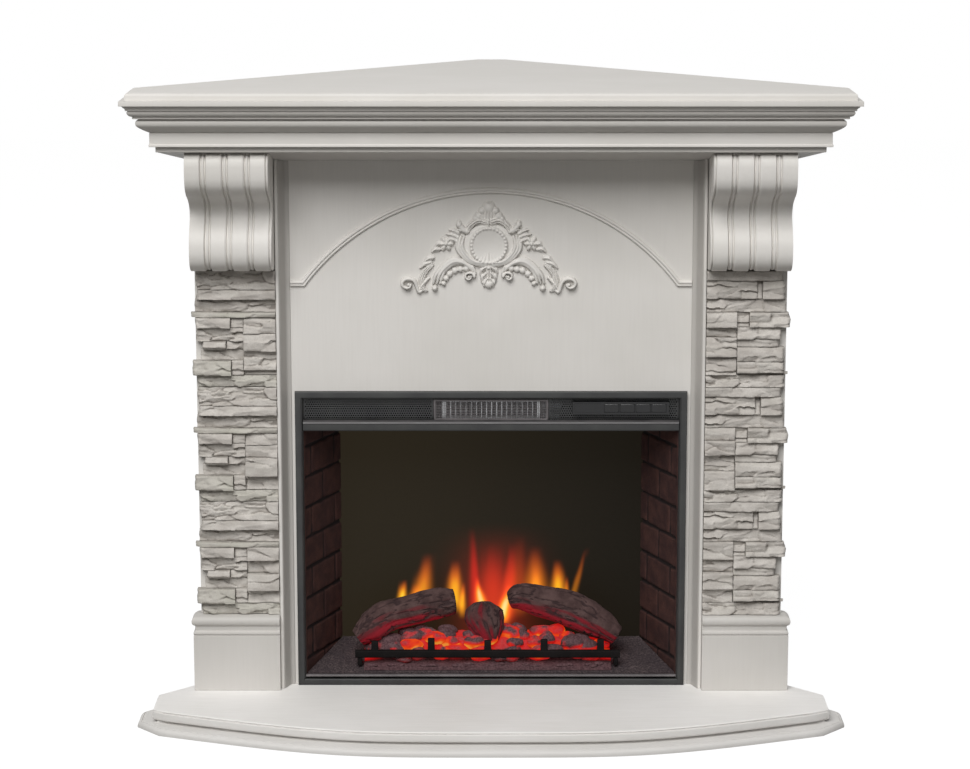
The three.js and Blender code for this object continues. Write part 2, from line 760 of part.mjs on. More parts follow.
// carved cartouche: a round boss in a scrolled shield, with a shell crest, a hanging leaf
// and an arm of leaves to each side that ends in a scroll
function makeOrnament() {
  const relief = (shape, thickness) => extrude(shape, -thickness - gap, -gap, 'y', 8);
  const disc = (x, z, radius, thickness, sides = 18) => {
    const round = new THREE.CylinderGeometry(radius, radius, thickness, sides);
    return round.translate(x, -gap - thickness / 2, z);
  };
  const z = ornamentCentre;
  const shield = new THREE.Shape().absellipse(0, z - 2, 51, 38, 0, Math.PI * 2);
  const arm = (side) => {
    const s = new THREE.Shape();
    s.moveTo(side * 44, z + 26);
    s.bezierCurveTo(side * 80, z + 40, side * 108, z - 2, side * 112, z - 34);
    s.bezierCurveTo(side * 122, z - 60, side * 150, z - 44, side * 161, z - 66);
    s.bezierCurveTo(side * 158, z - 88, side * 128, z - 92, side * 112, z - 84);
    s.bezierCurveTo(side * 92, z - 74, side * 84, z - 44, side * 74, z - 22);
    s.bezierCurveTo(side * 66, z - 6, side * 52, z - 4, side * 40, z - 12);
    s.closePath();
    return relief(s, 7);
  };
  const crest = new THREE.Shape();
  crest.moveTo(-30, z + 30);
  crest.bezierCurveTo(-34, z + 60, -14, z + 76, 0, z + 76);
  crest.bezierCurveTo(14, z + 76, 34, z + 60, 30, z + 30);
  crest.closePath();
  const leaf = new THREE.Shape();
  leaf.moveTo(-24, z - 34);
  leaf.bezierCurveTo(-26, z - 56, -12, z - 80, 0, z - 84);
  leaf.bezierCurveTo(12, z - 80, 26, z - 56, 24, z - 34);
  leaf.closePath();
  const whole = join(
    relief(shield, 8), arm(1), arm(-1), relief(crest, 9), relief(leaf, 8),
    disc(0, z, ornamentRing, ornamentRelief, 28), disc(-77, z + 1, 17, 10), disc(77, z + 9, 17, 10),
    disc(-33, z - 54, 15, 8), disc(33, z - 54, 15, 8), disc(-100, z - 76, 13, 12),
  );
  const dish = new THREE.CylinderGeometry(ornamentRing - 6, ornamentRing - 6, 8, 28)
    .translate(0, -gap - ornamentRelief, z);
  add('ornament', cut(whole, dish), paint);
}

// ---------------------------------------------------------------- firebox shell and front
function casePlan(inset, front) {
  const slope = (caseHalfWidth - caseBackHalfWidth) / (caseDepth - caseCornerDepth);
  const side = caseHalfWidth - inset;
  const back = caseDepth - inset;
  const turn = inset * (Math.hypot(1, slope) - slope);
  const backSide = caseBackHalfWidth + inset * slope - inset * Math.hypot(1, slope);
  return [
    [-side, front], [side, front], [side, caseCornerDepth - turn / slope],
    [backSide, back], [-backSide, back], [-side, caseCornerDepth - turn / slope],
  ];
}

function makeFirebox() {
  const shell = stack([[casePlan(0, 0), standing], [casePlan(0, 0), caseTop]]);
  const room = (from, to) => stack([[casePlan(caseWall, -1), from], [casePlan(caseWall, -1), to]]);
  const bracketInner = spindleEnd + 1;
  const bracket = (x) => block(
    x, x + bracketPlate, spindleAxis - bracketHalf, spindleAxis + bracketHalf,
    caseFloor - 1, spindleHeight + bracketHalf,
  );
  const hollow = cut(shell, room(caseFloor, hoodBottom), room(hoodBottom + hoodPlate, caseTop - caseWall));
  const shaftHole = spindleRadius + shaftClearance;
  const holeEnd = bracketInner + bracketPlate + 2;
  add('firebox_case', cut(
    join(hollow, bracket(bracketInner), bracket(-bracketInner - bracketPlate)),
    barX(shaftHole, -holeEnd, holeEnd, spindleAxis, spindleHeight),
  ), blackSteel);

  const trim = outline([
    [-trimHalfWidth, trimBottom], [trimHalfWidth, trimBottom],
    [trimHalfWidth, trimTop], [-trimHalfWidth, trimTop],
  ]);
  const windowHalf = trimHalfWidth - trimSide;
  trim.holes.push(new THREE.Path([
    [-windowHalf, trimBottom + trimBottomBar], [-windowHalf, trimTop - trimSide],
    [windowHalf, trimTop - trimSide], [windowHalf, trimBottom + trimBottomBar],
  ].map(([x, z]) => new THREE.Vector2(x, z))));
  add('trim_frame', extrude(trim, -trimDepth - gap, -gap, 'y'), blackSteel);

  const inside = caseHalfWidth - caseWall - gap;
  const barBottom = hoodBottom + hoodPlate + gap;
  const barFront = grilleFace - crossBarDepth;
  add('cross_bar', join(
    block(-inside, inside, barFront, grilleFace, barBottom, crossBarTop),
    block(-inside, inside, barFront, barFront + ledgeDepth, crossBarTop - 1, crossBarTop + ledgeHeight),
  ), blackSteel);
}

// ---------------------------------------------------------------- grille, guard and controls
const guardBottom = grilleBottom + 1.6;
const guardTop = grilleTop - 1.8;

function makeGrille() {
  const inside = caseHalfWidth - caseWall - gap;
  const plate = outline([
    [-inside, grilleBottom], [inside, grilleBottom], [inside, grilleTop], [-inside, grilleTop],
  ]);
  const opening = guardHalfWidth + gap;
  plate.holes.push(new THREE.Path([
    [-opening, guardBottom - gap], [-opening, guardTop + gap],
    [opening, guardTop + gap], [opening, guardBottom - gap],
  ].map(([x, z]) => new THREE.Vector2(x, z))));
  add('grille', extrude(plate, grilleFace, grilleFace + grilleThickness, 'y'), blackSteel);

  const rim = 4;
  const back = grilleFace + grilleThickness;
  const face = back - guardDepth;
  const frame = cut(
    block(-guardHalfWidth, guardHalfWidth, face, back, guardBottom, guardTop),
    block(rim - guardHalfWidth, guardHalfWidth - rim, face - 1, back + 1, guardBottom + rim, guardTop - rim),
  );
  const slatHalf = guardHalfWidth - rim + 1;
  const slatPitch = (guardTop - guardBottom - 2 * rim) / (guardSlats + 1);
  const slats = Array.from({ length: guardSlats }, (_, i) => {
    const z = guardBottom + rim + slatPitch * (i + 1);
    return block(-slatHalf, slatHalf, face + 2, face + 4, z - guardSlat / 2, z + guardSlat / 2);
  });
  add('heater_guard', join(frame, ...slats), blackSteel);
}

function makeControls() {
  const plateBack = -controlFace + controlPlate;
  const midZ = (controlBottom + controlTop) / 2;
  const trayBack = grilleFace - gap;
  const boardRear = 0.6;
  const boardFront = boardRear - boardThickness;
  const seatRim = 2;
  const tray = block(controlLeft, controlRight, -controlFace, trayBack, controlBottom, controlTop);
  const boardBay = block(
    controlLeft + controlWall, controlRight - controlWall, boardFront - gap, trayBack + 1,
    controlBottom + controlWall, controlTop - controlWall,
  );
  const keyBay = block(
    controlLeft + controlWall + seatRim, controlRight - controlWall, plateBack, trayBack,
    controlBottom + controlWall, controlTop - controlWall,
  );
  const keyX = (i) => firstKey + i * keyPitch;
  const windows = keyNames.map((_, i) => block(
    keyX(i) - keyWidth / 2 - keyClearance, keyX(i) + keyWidth / 2 + keyClearance,
    -controlFace - 1, plateBack + 1,
    midZ - keyHeight / 2 - keyClearance, midZ + keyHeight / 2 + keyClearance,
  ));
  const lensSeat = displayThickness + gap;
  const displaySeat = block(
    displayLeft - gap, displayLeft + displayWidth + gap, -controlFace - 1, -controlFace + lensSeat,
    midZ - displayHeight / 2 - gap, midZ + displayHeight / 2 + gap,
  );
  const displayOpening = block(
    displayLeft + 3, displayLeft + displayWidth - 3, -controlFace - 1, plateBack + 1,
    midZ - displayHeight / 2 + 2, midZ + displayHeight / 2 - 2,
  );
  add('control_panel', cut(tray, boardBay, keyBay, ...windows, displaySeat, displayOpening), darkGloss);
  add('display_window', block(
    displayLeft, displayLeft + displayWidth, -controlFace, -controlFace + displayThickness,
    midZ - displayHeight / 2, midZ + displayHeight / 2,
  ), smoked);

  // key: cap through the window, a flange that keeps it in, and a plunger to the switch
  const proud = 0.6;
  const flangeFront = plateBack + gap;
  const flangeOver = 1;
  const plungerEnd = flangeFront + keyFlange + 1.4;
  const key = join(
    block(
      -keyWidth / 2, keyWidth / 2, -controlFace - proud, flangeFront + keyFlange,
      -keyHeight / 2, keyHeight / 2,
    ),
    block(
      -keyWidth / 2 - flangeOver, keyWidth / 2 + flangeOver, flangeFront, flangeFront + keyFlange,
      -keyHeight / 2 - flangeOver, keyHeight / 2 + flangeOver,
    ),
    block(-2, 2, flangeFront, plungerEnd, -2, 2),
  );
  keyNames.forEach((name, i) => {
    add(name, key, darkGloss).position.set(keyX(i), 0, midZ);
  });

  const switchFront = plungerEnd + keyTravel + gap;
  const switches = keyNames.map((_, i) =>
    block(keyX(i) - 3, keyX(i) + 3, switchFront, boardFront + 0.5, midZ - 3, midZ + 3));
  add('control_board', join(
    block(
      controlLeft + controlWall + gap, controlRight - controlWall - gap, boardFront, boardRear,
      controlBottom + controlWall + gap, controlTop - controlWall - gap,
    ),
    ...switches,
  ), circuit);
}

// ---------------------------------------------------------------- fan heater above the chamber
function makeHeater() {
  const floor = hoodBottom + hoodPlate + gap;
  const endPlate = 2.5;
  const inner = fanHalfLength + 2.5;
  const outer = inner + endPlate;
  const scroll = fanRadius + 2.5;
  const sheet = 2;
  const ductBottom = fanAxisHeight - 1;
  const ductTop = fanAxisHeight + 20;
  const housingFront = 32;
  const plates = [-outer, inner].map((x) =>
    block(x, x + endPlate, fanAxis - 28, fanAxis + 28, floor, ductTop + sheet + 1));
  const body = join(
    barX(scroll + sheet, -outer, outer, fanAxis, fanAxisHeight, 24),
    block(-outer, outer, housingFront, fanAxis, ductBottom - sheet, ductTop + sheet),
    ...plates,
  );
  add('blower_housing', cut(
    body,
    barX(scroll, -inner, inner, fanAxis, fanAxisHeight, 24),
    block(-inner, inner, housingFront - 1, fanAxis, ductBottom, ductTop),
    block(-inner, inner, fanAxis + 6, fanAxis + 30, floor - 1, fanAxisHeight),
    barX(fanShaft + shaftClearance, -outer - 1, outer + 1, fanAxis, fanAxisHeight),
  ), blackSteel);

  // crossflow wheel: a ring of blades between two discs on one shaft
  const discs = [-fanHalfLength, fanHalfLength - 1.5].map((x) =>
    barX(fanRadius, x, x + 1.5, fanAxis, fanAxisHeight, 20));
  const blades = Array.from({ length: fanBlades }, (_, i) =>
    block(-fanHalfLength + 0.5, fanHalfLength - 0.5, -3, 3, -0.6, 0.6)
      .rotateX(0.6)
      .translate(0, 0, fanRadius - 3.6)
      .rotateX((i / fanBlades) * Math.PI * 2)
      .translate(0, fanAxis, fanAxisHeight));
  const motorStart = outer + 1;
  const shaftEnd = motorStart + 12;
  const shaft = barX(fanShaft, -outer - 2, shaftEnd, fanAxis, fanAxisHeight);
  add('blower_wheel', join(shaft, ...discs, ...blades), bare);

  const motorLength = 36;
  const motorRadius = 19;
  add('blower_motor', cut(
    join(
      barX(motorRadius, motorStart, motorStart + motorLength, fanAxis, fanAxisHeight, 20),
      block(motorStart + 4, motorStart + motorLength - 4, fanAxis - 14, fanAxis + 14, floor, fanAxisHeight),
    ),
    barX(fanShaft + shaftClearance, motorStart - 1, shaftEnd + 1, fanAxis, fanAxisHeight),
  ), motorShell);

  // heating element: upright fins between two rails, on feet at both ends
  const elementFront = grilleFace + grilleThickness + 6;
  const elementBack = housingFront - gap;
  const elementHalf = 86;
  const finPitch = 9;
  const fins = [];
  for (let x = -elementHalf + 6; x <= elementHalf - 6; x += finPitch) {
    fins.push(block(x - 0.8, x + 0.8, elementFront + 3, elementBack - 3, guardBottom + 4, guardTop - 4));
  }
  add('heating_element', join(
    block(-elementHalf, elementHalf, elementFront, elementBack, guardBottom + 1, guardBottom + 5),
    block(-elementHalf, elementHalf, elementFront, elementBack, guardTop - 5, guardTop - 1),
    ...[-elementHalf, elementHalf - 5].map((x) =>
      block(x, x + 5, elementFront, elementBack, floor, guardTop - 1)),
    ...fins,
  ), bare);
}

// ---------------------------------------------------------------- fire chamber
const floorSlope = (floorBack - floorFront) / screenFace;
const floorAt = (y) => floorFront + floorSlope * y;
const brickBackHalf = caseBackHalfWidth + 3;

// slab over a grid in plan, with its own height at each point above a sloping underside
function mound(x0, x1, y0, y1, columns, rows, underside, topside) {
  const ring = [];
  const at = (i, j) => [x0 + ((x1 - x0) * i) / columns, y0 + ((y1 - y0) * j) / rows];
  const positions = [];
  const index = [];
  for (const height of [underside, topside]) {
    for (let j = 0; j <= rows; j += 1) {
      for (let i = 0; i <= columns; i += 1) {
        const [x, y] = at(i, j);
        positions.push(x, y, height(x, y));
      }
    }
  }
  const layer = (columns + 1) * (rows + 1);
  const point = (i, j) => j * (columns + 1) + i;
  for (let j = 0; j < rows; j += 1) {
    for (let i = 0; i < columns; i += 1) {
      const [a, b, c, d] = [point(i, j), point(i + 1, j), point(i + 1, j + 1), point(i, j + 1)];
      index.push(a, c, b, a, d, c);
      index.push(layer + a, layer + b, layer + c, layer + a, layer + c, layer + d);
    }
  }
  for (let i = 0; i < columns; i += 1) ring.push([i, 0]);
  for (let j = 0; j < rows; j += 1) ring.push([columns, j]);
  for (let i = columns; i > 0; i -= 1) ring.push([i, rows]);
  for (let j = rows; j > 0; j -= 1) ring.push([0, j]);
  ring.forEach(([i, j], k) => {
    const [ni, nj] = ring[(k + 1) % ring.length];
    const a = point(i, j);
    const b = point(ni, nj);
    index.push(a, b, layer + b, a, layer + b, layer + a);
  });
  const geometry = new THREE.BufferGeometry();
  geometry.setAttribute('position', new THREE.Float32BufferAttribute(positions, 3));
  geometry.setIndex(index);
  geometry.computeVertexNormals();
  return geometry;
}

// log: a round body along a straight line, swollen and knotted by a slow wave; extra makes
// it that much thicker and longer at each end
function logBody({ start, end, radius, endRadius, knots }, extra) {
  const sides = 12;
  const steps = 8;
  const reach = new THREE.Vector3(...end).sub(new THREE.Vector3(...start)).setLength(extra);
  const from = new THREE.Vector3(...start).sub(reach);
  const along = new THREE.Vector3(...end).add(reach).sub(from);
  const turn = new THREE.Quaternion().setFromUnitVectors(
    new THREE.Vector3(0, 0, 1), along.clone().normalize(),
  );
  const rings = Array.from({ length: steps + 1 }, (_, k) => {
    const t = k / steps;
    return Array.from({ length: sides }, (_, i) => {
      const angle = (i / sides) * Math.PI * 2;
      const swell = 0.94 + 0.06 * Math.sin(knots * Math.PI * t + 2 * angle);
      const ring = new THREE.Vector3(Math.cos(angle), Math.sin(angle), 0)
        .multiplyScalar((radius + (endRadius - radius) * t) * swell + extra);
      return ring.applyQuaternion(turn).addScaledVector(along, t).add(from).toArray();
    });
  });
  const back = turn.clone().invert();
  return loft(rings, (point) => {
    const local = new THREE.Vector3(...point).applyQuaternion(back);
    return [local.x, local.y];
  });
}

function makeChamber() {
  const inside = caseHalfWidth - caseWall - gap;
  const brickFront = 3;
  const brickTop = hoodBottom - gap;
  const brickPlan = [
    [inside - 1.5, brickFront], [inside, brickFront], [inside, 22],
    [brickBackHalf + brickThickness, screenFace - gap], [brickBackHalf, screenFace - gap],
  ];
  const brickFoot = caseFloor + gap;
  addPair('brick_side', stack([[brickPlan, brickFoot], [brickPlan, brickTop]]), brick);

  const screenHalf = caseHalfWidth - 10;
  add('flame_screen', block(
    -screenHalf, screenHalf, screenFace, screenFace + screenThickness, brickFoot, brickTop,
  ), smoked);

  // floor of the fire: a tray that follows the brick sides and slopes up to the screen
  const floorEnd = screenFace - gap;
  const clear = 0.5;
  const tray = [
    [-(inside - 1.5 - clear), brickFront], [inside - 1.5 - clear, brickFront],
    [brickBackHalf - clear, floorEnd], [-(brickBackHalf - clear), floorEnd],
  ];
  const plate = loft([
    tray.map(([x, y]) => [x, y, floorAt(y) - floorThickness]),
    tray.map(([x, y]) => [x, y, floorAt(y)]),
  ], ([x, y]) => [x, y]);
  const legs = [-260, 248].map((x) =>
    block(x, x + 12, 30, 120, caseFloor + gap, floorAt(30) - 1));
  const window = block(-emberWindowHalf, emberWindowHalf, emberWindowFront, emberWindowBack, 30, 120);
  add('ash_floor', join(cut(plate, window), ...legs), ash);
}

// ---------------------------------------------------------------- logs, coals and grate
// each log runs between two centres and changes its radius on the way; x is measured from
// the middle of the log set
const logs = [{
  name: 'log_left',
  start: [-logOuter, logFront, logLow],
  end: [-leftLogInner, logBack, leftLogHigh],
  radius: logRadius,
  endRadius: logRadius,
  knots: 3,
}, {
  name: 'log_right',
  start: [rightLogInner, logBack, rightLogHigh],
  end: [logOuter, logFront, logLow],
  radius: logRadius,
  endRadius: logRadius,
  knots: 4,
}, {
  name: 'log_centre',
  start: [-stumpLean, stumpFoot, logLow],
  end: [stumpLean, stumpBack, stumpHigh],
  radius: stumpFootRadius,
  endRadius: stumpRadius,
  knots: 2,
}];

function makeFire() {
  for (const log of logs) add(log.name, logBody(log, 0).translate(fireShift, 0, 0), charred);

  // coals: a lumpy bed that is heaped up behind the bar and takes the shape of the logs on it
  const rippled = (x, y) => 2.2 * Math.sin(x / 13 + y / 9) + 1.6 * Math.cos(x / 29 - y / 7);
  const smooth = THREE.MathUtils.smoothstep;
  const barBack = grateFront + grateBarDepth;
  const heapFront = barBack + 1;
  const heapAt = (x, y) => emberHeap * (1 - (x / emberHalfWidth) ** 4)
    * smooth(y, heapFront, heapFront + 23) * (1 - 0.35 * smooth(y, 80, emberBack));
  const coals = mound(
    -emberHalfWidth, emberHalfWidth, emberFront, emberBack, 32, 12,
    (x, y) => floorAt(y) + gap,
    (x, y) => floorAt(y) + emberThickness + rippled(x, y) + heapAt(x, y),
  );
  const pocket = block(
    -emberWindowHalf, emberWindowHalf, emberWindowFront, emberWindowBack, floorFront, emberPocketTop,
  );
  const seats = logs.map((log) => logBody(log, gap));
  add('ember_bed', cut(coals, pocket, ...seats).translate(fireShift, 0, 0), ember);

  // grate: a bar across the front with uprights, on a leg and a foot at each end
  const pieces = [block(
    -grateHalfWidth, grateHalfWidth, grateFront, barBack, grateTop - grateBarHeight, grateTop,
  )];
  for (let i = 0; i < grateUprights; i += 1) {
    const x = (i - (grateUprights - 1) / 2) * grateUprightSpacing - grateUprightWidth / 2;
    pieces.push(block(
      x, x + grateUprightWidth, grateFront + 1, barBack - 1, grateTop - 2, grateTop + grateUprightReach,
    ));
  }
  const footBack = grateFront + grateFootLength;
  for (const x of [-grateHalfWidth, grateHalfWidth - grateLeg]) {
    const foot = floorAt(footBack) + gap;
    pieces.push(block(x, x + grateLeg, grateFront, barBack, foot, grateTop - 1));
    pieces.push(block(x, x + grateLeg, barBack - 1, footBack, foot, foot + grateFootHeight));
  }
  add('grate', join(...pieces).translate(fireShift, 0, 0), moulded);
}

function makeLights() {
  const floor = caseFloor + gap;
  const lamps = (count, halfLength, y) => Array.from({ length: count }, (_, i) => {
    const x = -halfLength + ((i + 0.5) * 2 * halfLength) / count;
    const top = floor + boardThickness;
    return block(
      x - lampSize / 2, x + lampSize / 2, y - lampSize / 2, y + lampSize / 2, top - 0.5, top + lampHeight,
    );
  });
  add('flame_led_board', join(
    block(
      -flameBoardHalf, flameBoardHalf, flameBoardFront, flameBoardFront + flameBoardDepth,
      floor, floor + boardThickness,
    ),
    ...lamps(flameLamps, flameBoardHalf - 5, flameBoardFront + flameBoardDepth / 4),
  ), circuit);
  add('ember_led_board', join(
    block(
      -emberBoardHalf, emberBoardHalf, emberWindowFront - 2, emberWindowBack + 2,
      floor, floor + boardThickness,
    ),
    ...lamps(emberLamps, emberWindowHalf, (emberWindowFront + emberWindowBack) / 2),
  ), circuit);

  // flame spindle: a rod with small mirrors turned round it in steps of a third of a turn
  const motorStart = spindleEnd + 5.5;
  const shaftEnd = motorStart + 12;
  const rod = barX(spindleRadius, -spindleEnd - 6, shaftEnd, spindleAxis, spindleHeight);
  const vanePitch = (2 * spindleEnd - 30) / spindleVanes;
  const vanes = Array.from({ length: spindleVanes }, (_, i) => {
    const x = (i - (spindleVanes - 1) / 2) * vanePitch;
    return block(x - vanePitch * 0.36, x + vanePitch * 0.36, -0.5, 0.5, 1, spindleVaneReach)
      .rotateX((i * 2 * Math.PI) / 3 + 0.4)
      .translate(0, spindleAxis, spindleHeight);
  });
  add('flame_spindle', join(rod, ...vanes), bare);
  const motorLength = 24;
  add('spindle_motor', cut(
    join(
      barX(14, motorStart, motorStart + motorLength, spindleAxis, spindleHeight, 20),
      block(
        motorStart + 3, motorStart + motorLength - 3, spindleAxis - 9, spindleAxis + 9,
        floor, spindleHeight,
      ),
    ),
    barX(spindleRadius + shaftClearance, motorStart - 1, shaftEnd + 1, spindleAxis, spindleHeight),
  ), motorShell);

  // mains inlet on the back of the case, with a three-pin recess
  const back = caseDepth + gap;
  const inlet = join(
    block(
      inletX - inletHalf - inletEar, inletX + inletHalf + inletEar, back, back + 2.5,
      inletZ - inletTall - inletWall, inletZ + inletTall + inletWall,
    ),
    block(
      inletX - inletHalf, inletX + inletHalf, back, back + inletDepth,
      inletZ - inletTall, inletZ + inletTall,
    ),
  );
  const recess = block(
    inletX - inletHalf + inletWall, inletX + inletHalf - inletWall, back + inletWall,
    back + inletDepth + 1, inletZ - inletTall + inletWall, inletZ + inletTall - inletWall,
  );
  const pins = [[-6, -2], [0, 2], [6, -2]].map(([x, z]) => block(
    inletX + x - 1, inletX + x + 1, back + inletWall - 1, back + inletDepth - 3,
    inletZ + z - 2, inletZ + z + 2,
  ));
  add('power_inlet', join(cut(inlet, recess), ...pins), moulded);
}

// ---------------------------------------------------------------- assembly
makeHearth();
makeShelf();
makeBedMoulding();
makeCarcass();
makeColumns();
makeCorbels();
makeArch();
makeOrnament();
makeFirebox();
makeGrille();
makeControls();
makeHeater();
makeChamber();
makeFire();
makeLights();

// the front of the skirt and the blunt back corner lie equally far from the centre
fireplace.position.y = (hearthFront + skirtFlare - apexY) / 2;

export default fireplace;
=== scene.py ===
# Looks of the corner electric fireplace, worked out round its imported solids.
# Lengths below are millimetres in a frame whose y = 0 is the front panel's face.
import itertools
import math

import bpy
import numpy as np
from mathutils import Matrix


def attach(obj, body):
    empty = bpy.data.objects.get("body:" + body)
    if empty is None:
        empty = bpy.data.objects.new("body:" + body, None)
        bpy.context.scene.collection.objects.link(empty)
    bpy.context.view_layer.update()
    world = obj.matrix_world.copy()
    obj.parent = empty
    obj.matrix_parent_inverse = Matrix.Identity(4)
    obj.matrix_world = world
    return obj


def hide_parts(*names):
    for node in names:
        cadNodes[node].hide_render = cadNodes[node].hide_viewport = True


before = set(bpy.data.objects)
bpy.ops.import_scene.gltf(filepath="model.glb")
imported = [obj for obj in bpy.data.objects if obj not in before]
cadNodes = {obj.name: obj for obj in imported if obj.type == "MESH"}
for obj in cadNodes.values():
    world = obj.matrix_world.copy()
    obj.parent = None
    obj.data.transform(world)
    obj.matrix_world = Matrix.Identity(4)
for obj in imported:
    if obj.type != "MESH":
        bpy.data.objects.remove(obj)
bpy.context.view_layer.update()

panelPlane = -92.8  # y of the panel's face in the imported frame
joint = 0.3  # the solids' joint between pieces
wallLine = 519.6  # boards end where |x| + y reaches this
apexHalf = 26  # flat at the back corner


# one long-lens camera, a little above the shelf and tilted down
def makeCamera():
    view = {"focal": 105.77, "tilt": 78.75, "place": (0, -5.0005, 1.558), "shift": -0.0062}
    data = bpy.data.cameras.new("camera")
    data.lens = view["focal"]
    data.sensor_width = 36
    data.sensor_fit = "HORIZONTAL"
    data.shift_x = view["shift"]
    camera = bpy.data.objects.new("camera", data)
    camera.location = view["place"]
    camera.rotation_euler = (math.radians(view["tilt"]), 0, 0)
    bpy.context.scene.collection.objects.link(camera)
    bpy.context.scene.camera = camera


# one broad square lamp, high in front and a little to the left
def makeLamps():
    lampLook = {"place": (-1.3, -5.95, 6.2), "aim": (0, 0, 0.6), "side": 5.0, "power": 622,
                "colour": (1, 0.995, 0.985)}
    data = bpy.data.lights.new("broadLamp", "AREA")
    data.shape = "SQUARE"
    data.size = lampLook["side"]
    data.energy = lampLook["power"]
    data.color = lampLook["colour"]
    lamp = bpy.data.objects.new("broadLamp", data)
    away = np.array(lampLook["aim"]) - np.array(lampLook["place"])
    lamp.location = lampLook["place"]
    lamp.rotation_euler = (math.atan2(math.hypot(away[0], away[1]), -away[2]), 0,
                           math.atan2(-away[0], away[1]))
    bpy.context.scene.collection.objects.link(lamp)


# colours are written as they look on a screen, 0 to 255, and turned into light values
def shade(red, green, blue):
    parts = np.array([red, green, blue]) / 255
    linear = np.where(parts <= 0.04045, parts / 12.92, ((parts + 0.055) / 1.055) ** 2.4)
    return (*linear.tolist(), 1.0)


# a node maker for one tree: values are set on sockets, other sockets are wired to them
def nodeMaker(tree):
    def put(kind, sockets=None, **settings):
        node = tree.nodes.new("ShaderNode" + kind)
        for key, value in settings.items():
            setattr(node, key, value)
        for name, value in (sockets or {}).items():
            target = node.inputs[name]
            if isinstance(value, bpy.types.NodeSocket):
                tree.links.new(value, target)
            else:
                target.default_value = value
        return node
    return put


def startMaterial(name):
    material = bpy.data.materials.new(name)
    material.use_nodes = True
    material.node_tree.nodes.clear()
    return material, nodeMaker(material.node_tree)


def noiseOf(put, size, detail, stretch=(1, 1, 1)):
    spread = put("Mapping", {"Vector": put("TexCoord").outputs["Object"], "Scale": stretch})
    noise = put("TexNoise", {
        "Vector": spread.outputs[0], "Scale": 1 / size, "Detail": detail, "Roughness": 0.55,
    })
    return noise.outputs[0]


def ramp(put, factor, low, high, start=0.0, end=1.0):
    mapped = put("MapRange", {
        "Value": factor, "From Min": low, "From Max": high, "To Min": start, "To Max": end,
    }, interpolation_type="SMOOTHSTEP")
    return mapped.outputs[0]


# each colour is a socket, or a screen value
def mixColour(put, share, first, second):
    mixed = put("Mix", data_type="RGBA")
    tree = mixed.id_data
    tree.links.new(share, mixed.inputs[0])
    for index, value in ((6, first), (7, second)):
        if isinstance(value, bpy.types.NodeSocket):
            tree.links.new(value, mixed.inputs[index])
        else:
            mixed.inputs[index].default_value = shade(*value)
    return mixed.outputs[2]


def bumpOf(put, height, depth):
    return put("Bump", {"Height": height, "Distance": depth, "Strength": 1.0}).outputs[0]


def finishMaterial(put, sockets):
    shader = put("BsdfPrincipled", sockets)
    put("OutputMaterial", {"Surface": shader.outputs[0]})


def valueOf(put, name, output="Fac"):
    return put("Attribute", attribute_name=name).outputs[output]


# a surface from its table: colours are laid over the base one by one, each by a noise or by
# a value of the piece, taken as it is or eased over (low, high) into (least, most)
def surface(name, look):
    material, put = startMaterial(name)
    noises = {key: noiseOf(put, *noise) for key, noise in look["noises"].items()}

    def laid(tone, layers):
        for key, *span, colour in layers:
            driver = noises[key] if key in noises else valueOf(put, key)
            tone = mixColour(put, ramp(put, driver, *span) if span else driver, tone, colour)
        return tone

    rough, (bumpFrom, depth), glow = look["rough"], look["bump"], look.get("glow")
    if isinstance(rough, tuple):
        rough = ramp(put, noises[rough[0]], 0.2, 0.8, *rough[1:])
    sockets = {
        "Base Color": laid(look["base"], look["layers"]), "Roughness": rough,
        "Specular IOR Level": look.get("specular", 0.5), "Normal": bumpOf(put, noises[bumpFrom], depth),
        **look.get("sockets", {}),
    }
    if glow:
        drawn = isinstance(glow, str)
        sockets["Emission Color"] = valueOf(put, glow, "Color") if drawn else laid((0, 0, 0), glow)
    finishMaterial(put, sockets)
    return material


# satin paint: two close whites in slow clouds, and a faint grain along one direction; where it
# is asked for, painted shade: greyer as far as the piece's value says it is turned away or tucked in
def paintMaterial(name, grain, light=(226, 223, 219), dull=(219, 216, 211), withPaintedShade=False):
    layers = [("clouds", 0.3, 0.7, light), ("streaks", 0.35, 0.75, 0, 0.14, (208, 204, 199))]
    if withPaintedShade:
        # painted shade: the piece's value mixes the paint towards grey where the face is turned away from the
        # light or tucked in
        layers.append(("recess", (146, 142, 137)))
    return surface(name, {
        "noises": {"clouds": (0.22, 3), "streaks": (0.004, 4, grain)}, "base": dull, "layers": layers,
        "rough": ("clouds", 0.5, 0.6), "specular": 0.3, "bump": ("streaks", 0.00003),
    })


# split stone: pale grey with warm and green-grey clouds, and painted shade, darker where the skin is hollow
def stoneMaterial():
    return surface("splitStone", {
        "noises": {"clouds": (0.035, 5, (1, 1, 2.2)), "grit": (0.0022, 4)}, "base": (186, 180, 174),
        "layers": [("clouds", 0.3, 0.7, (214, 209, 203)), ("tone", 0, 1, (187, 186, 174)),
                   ("grit", 0.35, 0.7, 0, 0.35, (176, 170, 163)), ("hollow", 0.1, 1, 0, 0.75, (118, 111, 104))],
        "rough": ("grit", 0.78, 0.95), "specular": 0.25, "bump": ("grit", 0.0009),
    })


def boardMaterial():
    return surface("bareBoard", {
        "noises": {"clouds": (0.08, 3), "fibres": (0.0016, 5)}, "base": (176, 150, 116),
        "layers": [("clouds", 0.3, 0.7, (190, 164, 129)), ("fibres", 0.4, 0.75, 0, 0.5, (140, 114, 84))],
        "rough": 0.85, "specular": 0.2, "bump": ("fibres", 0.0002),
    })


# powder-coated sheet: near black with a fine pebbled skin and slightly worn sheen; made pale, it is painted
# light
def blackSteelMaterial(name, dark, light):
    return surface(name, {
        "noises": {"pebble": (0.0012, 2), "wear": (0.05, 4)}, "base": dark,
        "layers": [("wear", 0.3, 0.75, light)], "rough": ("wear", 0.36, 0.5), "bump": ("pebble", 0.00005),
        "sockets": {"Metallic": 0.15},
    })


